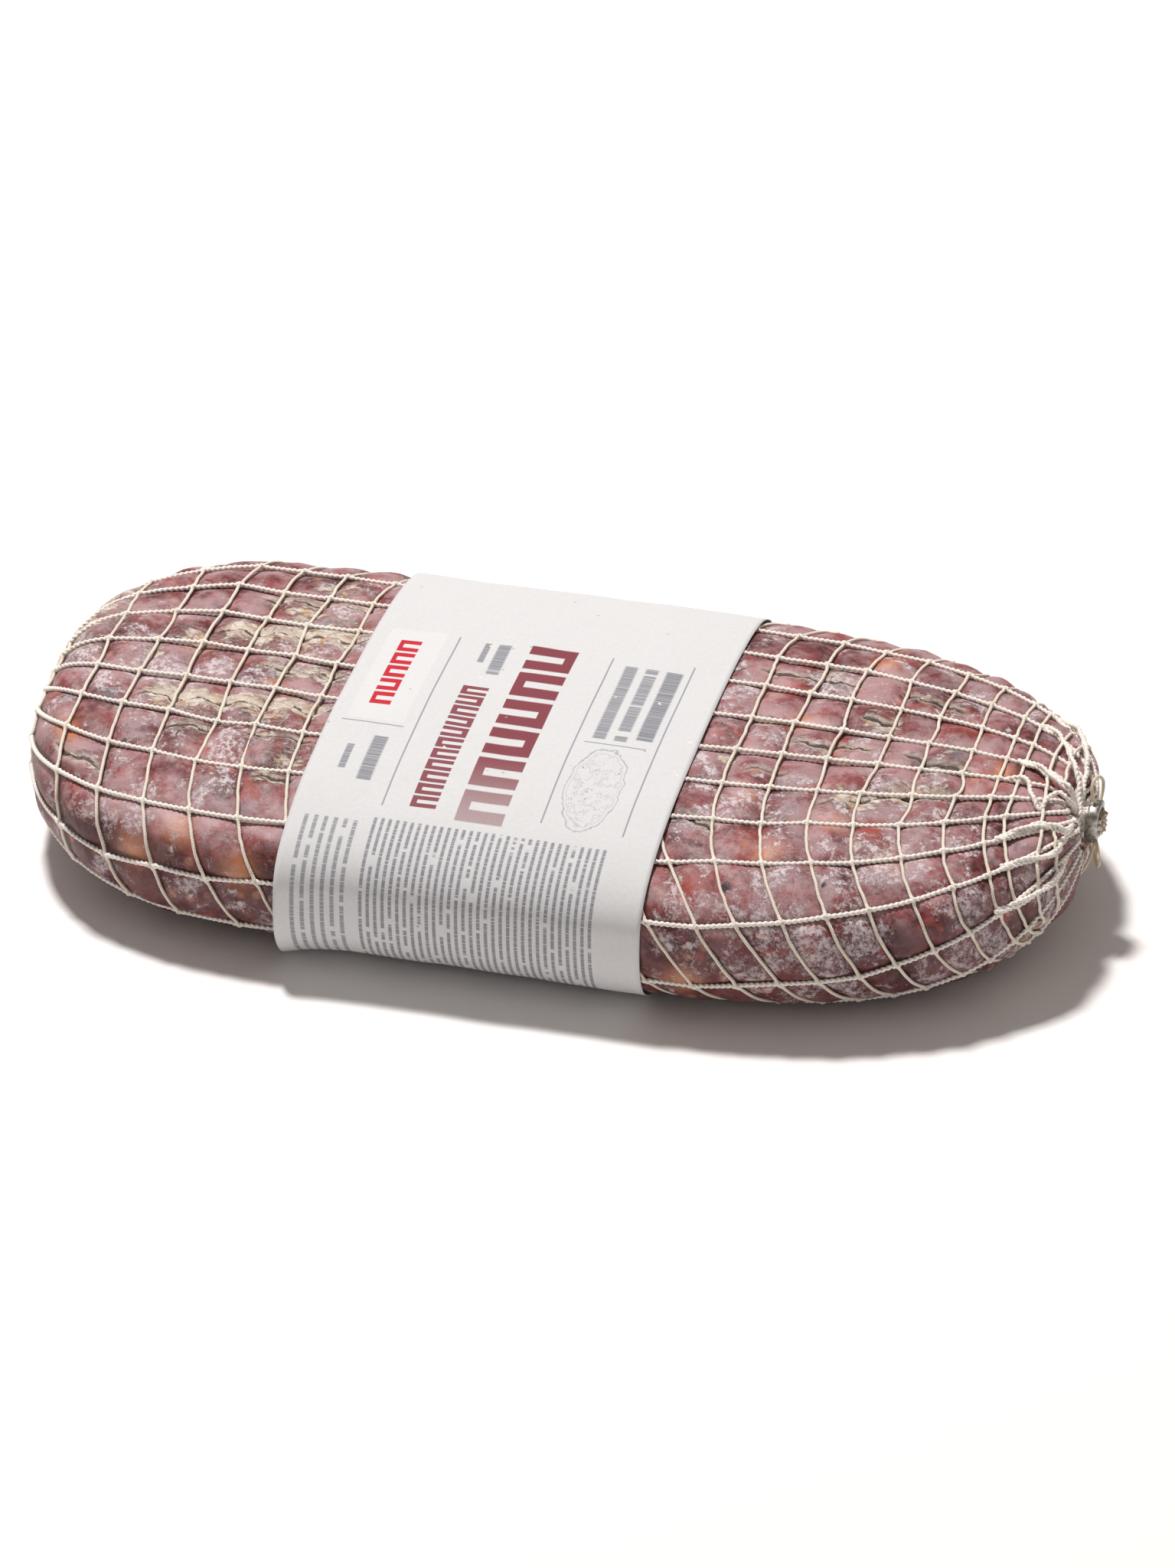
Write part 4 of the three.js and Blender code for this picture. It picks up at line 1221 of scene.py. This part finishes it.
def dashes(u0, u1, v0, v1, pitch, share, word, seed):
    """Rows of dashes: pitch is from row to row, share is the height of the dashes in it."""
    row, in_row = cell_of(across, u0, pitch)
    shifted = maths(tree, "ADD", upward, maths(tree, "MULTIPLY", row, 7.3 * word + seed))
    stretched = add(tree, "ShaderNodeCombineXYZ", {0: maths(tree, "DIVIDE", shifted, word), 1: row, 2: seed})
    words = noise_value(tree, stretched.outputs[0], 2.6, 1, 0.5)
    letters_at = add(tree, "ShaderNodeCombineXYZ", {0: maths(tree, "MULTIPLY", shifted, 1.9), 1: row})
    letters = noise_value(tree, letters_at.outputs[0], 1.0, 2, 0.7)
    in_line = within(in_row, 0.5 - share / 2, 0.5 + share / 2, 0.07)
    mark = maths(tree, "MULTIPLY", in_line, ramp(tree, words, 0.32, 0.36))
    mark = maths(tree, "MULTIPLY", mark, ramp(tree, letters, 0.36, 0.52, 0.25, 1.0))
    return maths(tree, "MULTIPLY", mark, box_at(u0, u1, v0, v1))


def blocks(u0, u1, v0, v1, count, slit, seed):
    """A row of upright bars with a slit in each, open at one end or the other."""
    number, place = cell_of(upward, v0, (v1 - v0) / count)
    seeded = {"W": maths(tree, "ADD", number, seed)}
    pick = add(tree, "ShaderNodeTexWhiteNoise", seeded, noise_dimensions="1D").outputs[0]
    solid = within(place, 0.07, 0.93, 0.02)
    gap = within(place, 0.5 - slit, 0.5 + slit, 0.02)
    reach = (u1 - u0) * 0.22
    from_left = within(across, u0 - 5, u1 - reach)
    from_right = within(across, u0 + reach, u1 + 5)
    choice = {0: maths(tree, "GREATER_THAN", pick, 0.5), 2: from_left, 3: from_right}
    open_end = add(tree, "ShaderNodeMix", choice).outputs[0]
    mark = maths(tree, "SUBTRACT", solid, maths(tree, "MULTIPLY", gap, open_end))
    return maths(tree, "MULTIPLY", mark, box_at(u0, u1, v0, v1))


def print_on(base, mask, ink, strength=1.0):
    return mix(tree, maths(tree, "MULTIPLY", mask, strength), base, colour(ink))

# %% [markdown]
# Off-white paper with a few brown and grey flecks. The print keeps the places and colours such a band has: a
# short red line on a paler plate, two wine-red lines, thin rules, and grey small print. A painted sheen pales
# the larger wine-red line towards its lower end.

# %% Paper and print
pulp = noise_value(tree, where, 900, 5, 0.7)
paper = mix(tree, ramp(tree, pulp, 0.3, 0.7), colour("D2D2D3"), colour("D8D8D9"))
paper = print_on(paper, box_at(5.0, 22.5, 72, 126), "E4E4E5", 0.3)
fleck = add(tree, "ShaderNodeTexVoronoi", {"Vector": where, "Scale": 210.0})
fleck_pick = add(tree, "ShaderNodeSeparateColor", {0: fleck.outputs["Color"]}).outputs
fleck_mask = maths(
    tree, "MULTIPLY", ramp(tree, fleck.outputs["Distance"], 0.13, 0.06), ramp(tree, fleck_pick[0], 0.86, 0.9)
)
fleck_tint = mix(tree, fleck_pick[1], colour("A3826C"), colour("8C8C92"))
paper = mix(tree, maths(tree, "MULTIPLY", fleck_mask, 0.55), paper, fleck_tint)

GREY, RULE, WINE, RED = "7B7D86", "868994", "7B1C2E", "C21F30"
paper = print_on(paper, blocks(9.5, 16.0, 80, 120, 5, 0.14, 3.0), RED)
upright_rules = [(26.2, 26.7, 32, 125), (74.3, 74.8, 34, 125), (99.4, 99.9, 33, 126)]
for rule in upright_rules + [(4, 23, 70.0, 70.5), (77.5, 96.5, 75.3, 75.8)]:
    paper = print_on(paper, box_at(*rule), RULE, 0.85)
paper = print_on(paper, dashes(8.5, 12.0, 46, 58, 3.5, 0.62, 9, 1.0), GREY, 0.9)
paper = print_on(paper, dashes(14.5, 21.5, 42, 64, 7.0, 0.62, 14, 2.0), GREY, 0.9)
# Painted sheen: the ink of the larger wine-red line is thinned towards its lower end, as glare on the paper.
headline_sheen = ramp(tree, upward, 24, 66, 0.55, 1.0)
paper = print_on(paper, blocks(34.5, 42.5, 33, 98, 11, 0.13, 5.0), WINE, 0.92)
headline_ink_under_sheen = maths(tree, "MULTIPLY", headline_sheen, 0.95)
paper = print_on(paper, blocks(49.0, 63.5, 29, 127, 6, 0.11, 9.0), WINE, headline_ink_under_sheen)
paper = print_on(paper, dashes(34.0, 37.5, 112, 124, 3.5, 0.55, 8, 4.0), GREY, 0.9)
paper = print_on(paper, dashes(38.0, 44.0, 106, 124, 6.0, 0.66, 11, 5.0), GREY, 0.9)
paper = print_on(paper, dashes(78.0, 91.0, 78, 121, 6.5, 0.6, 12, 6.0), GREY, 0.85)
paper = print_on(paper, dashes(91.5, 98.0, 80, 121, 6.5, 0.78, 12, 7.0), GREY, 0.95)
paper = print_on(paper, dashes(4.0, 22.0, -30, 25, 3.0, 0.42, 7, 8.0), GREY, 0.8)
paper = print_on(paper, dashes(25.0, 97.0, -36, 27, 2.25, 0.46, 9, 9.0), GREY, 0.9)

# %% [markdown]
# The oval: two outlines round a speckled middle, in place of a drawing. Then a fine pulp relief.

# %% Oval and paper finish
offset_u = maths(tree, "DIVIDE", maths(tree, "SUBTRACT", across, 86.0), 8.6)
offset_v = maths(tree, "DIVIDE", maths(tree, "SUBTRACT", upward, 53.0), 20.5)
shape = add(tree, "ShaderNodeCombineXYZ", {0: offset_u, 1: offset_v}).outputs[0]
shape_size = add(tree, "ShaderNodeVectorMath", {0: shape}, operation="LENGTH").outputs["Value"]
sketchy = maths(tree, "ADD", shape_size, ramp(tree, noise_value(tree, label, 0.25, 3), 0.2, 0.8, -0.07, 0.07))
inner_line = maths(tree, "MULTIPLY", within(sketchy, 0.85, 0.865, 0.02), 0.7)
outline = maths(tree, "MAXIMUM", within(sketchy, 0.955, 0.985, 0.02), inner_line)
specks = {"Vector": label, "Scale": 0.55, "Randomness": 1.0}
speck = add(tree, "ShaderNodeTexVoronoi", specks, feature="DISTANCE_TO_EDGE")
speck_ring = within(speck.outputs["Distance"], 0.10, 0.16, 0.035)
inside = ramp(tree, sketchy, 0.84, 0.80)
speck_pick = ramp(tree, noise_value(tree, label, 0.35, 2), 0.48, 0.55)
speckles = maths(tree, "MULTIPLY", maths(tree, "MULTIPLY", speck_ring, inside), speck_pick)
drawn = maths(tree, "MAXIMUM", outline, speckles)
paper = print_on(paper, drawn, "8A8B92", 0.75)
relief = add(tree, "ShaderNodeBump", {"Height": pulp, "Strength": 0.35, "Distance": 0.00012})
feed(tree, shader, Base_Color=paper, Roughness=0.72, Normal=relief.outputs[0], Specular_IOR_Level=0.35)
mesh.materials.append(material)
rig.replaces(band, "paper_band")
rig.ride(band, "root")
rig.slot(band, "paper")

# %% [markdown]
# ## Floor and light
# A pale studio floor under one soft light, high up behind on the left, so the shadow falls towards the front
# and right. A low, even light from all round fills it.

# %% Floor and light
floor_mesh = bpy.data.meshes.new("floor")
floor_mesh.from_pydata([(-4, -4, 0), (4, -4, 0), (4, 6, 0), (-4, 6, 0)], [], [(0, 1, 2, 3)])
floor = bpy.data.objects.new("floor", floor_mesh)
bpy.context.collection.objects.link(floor)
material, tree, shader = new_material("studio_floor")
feed(tree, shader, Base_Color=colour("F6F4F3"), Roughness=0.9, Specular_IOR_Level=0.1)
floor_mesh.materials.append(material)
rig.stage(floor)


def area_light(name, where, target, size, watts, tint="FFFFFF"):
    data = bpy.data.lights.new(name, "AREA")
    data.shape = "RECTANGLE"
    data.size, data.size_y = size
    data.energy = watts
    data.color = colour(tint)[:3]
    light = bpy.data.objects.new(name, data)
    light.location = where
    light.rotation_euler = (Vector(where) - Vector(target)).to_track_quat("Z", "Y").to_euler()
    bpy.context.collection.objects.link(light)


area_light("key", (-0.78, 0.72, 3.12), (0, 0, 0.03), (0.40, 0.40), 113, "FFFCFA")
world = bpy.data.worlds.new("studio")
world.use_nodes = True
world.node_tree.nodes["Background"].inputs[0].default_value = colour("FFF6F1")
world.node_tree.nodes["Background"].inputs[1].default_value = 0.29
bpy.context.scene.world = world
bpy.context.scene.view_settings.view_transform = "Standard"

# %% Size and finish
lowest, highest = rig.bounds()
with open("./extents.json") as f:
    sizes = json.load(f)
sizes["shown"] = [list(lowest), list(highest)]
with open("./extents.json", "w") as f:
    json.dump(sizes, f)
print("shown", sizes["shown"])
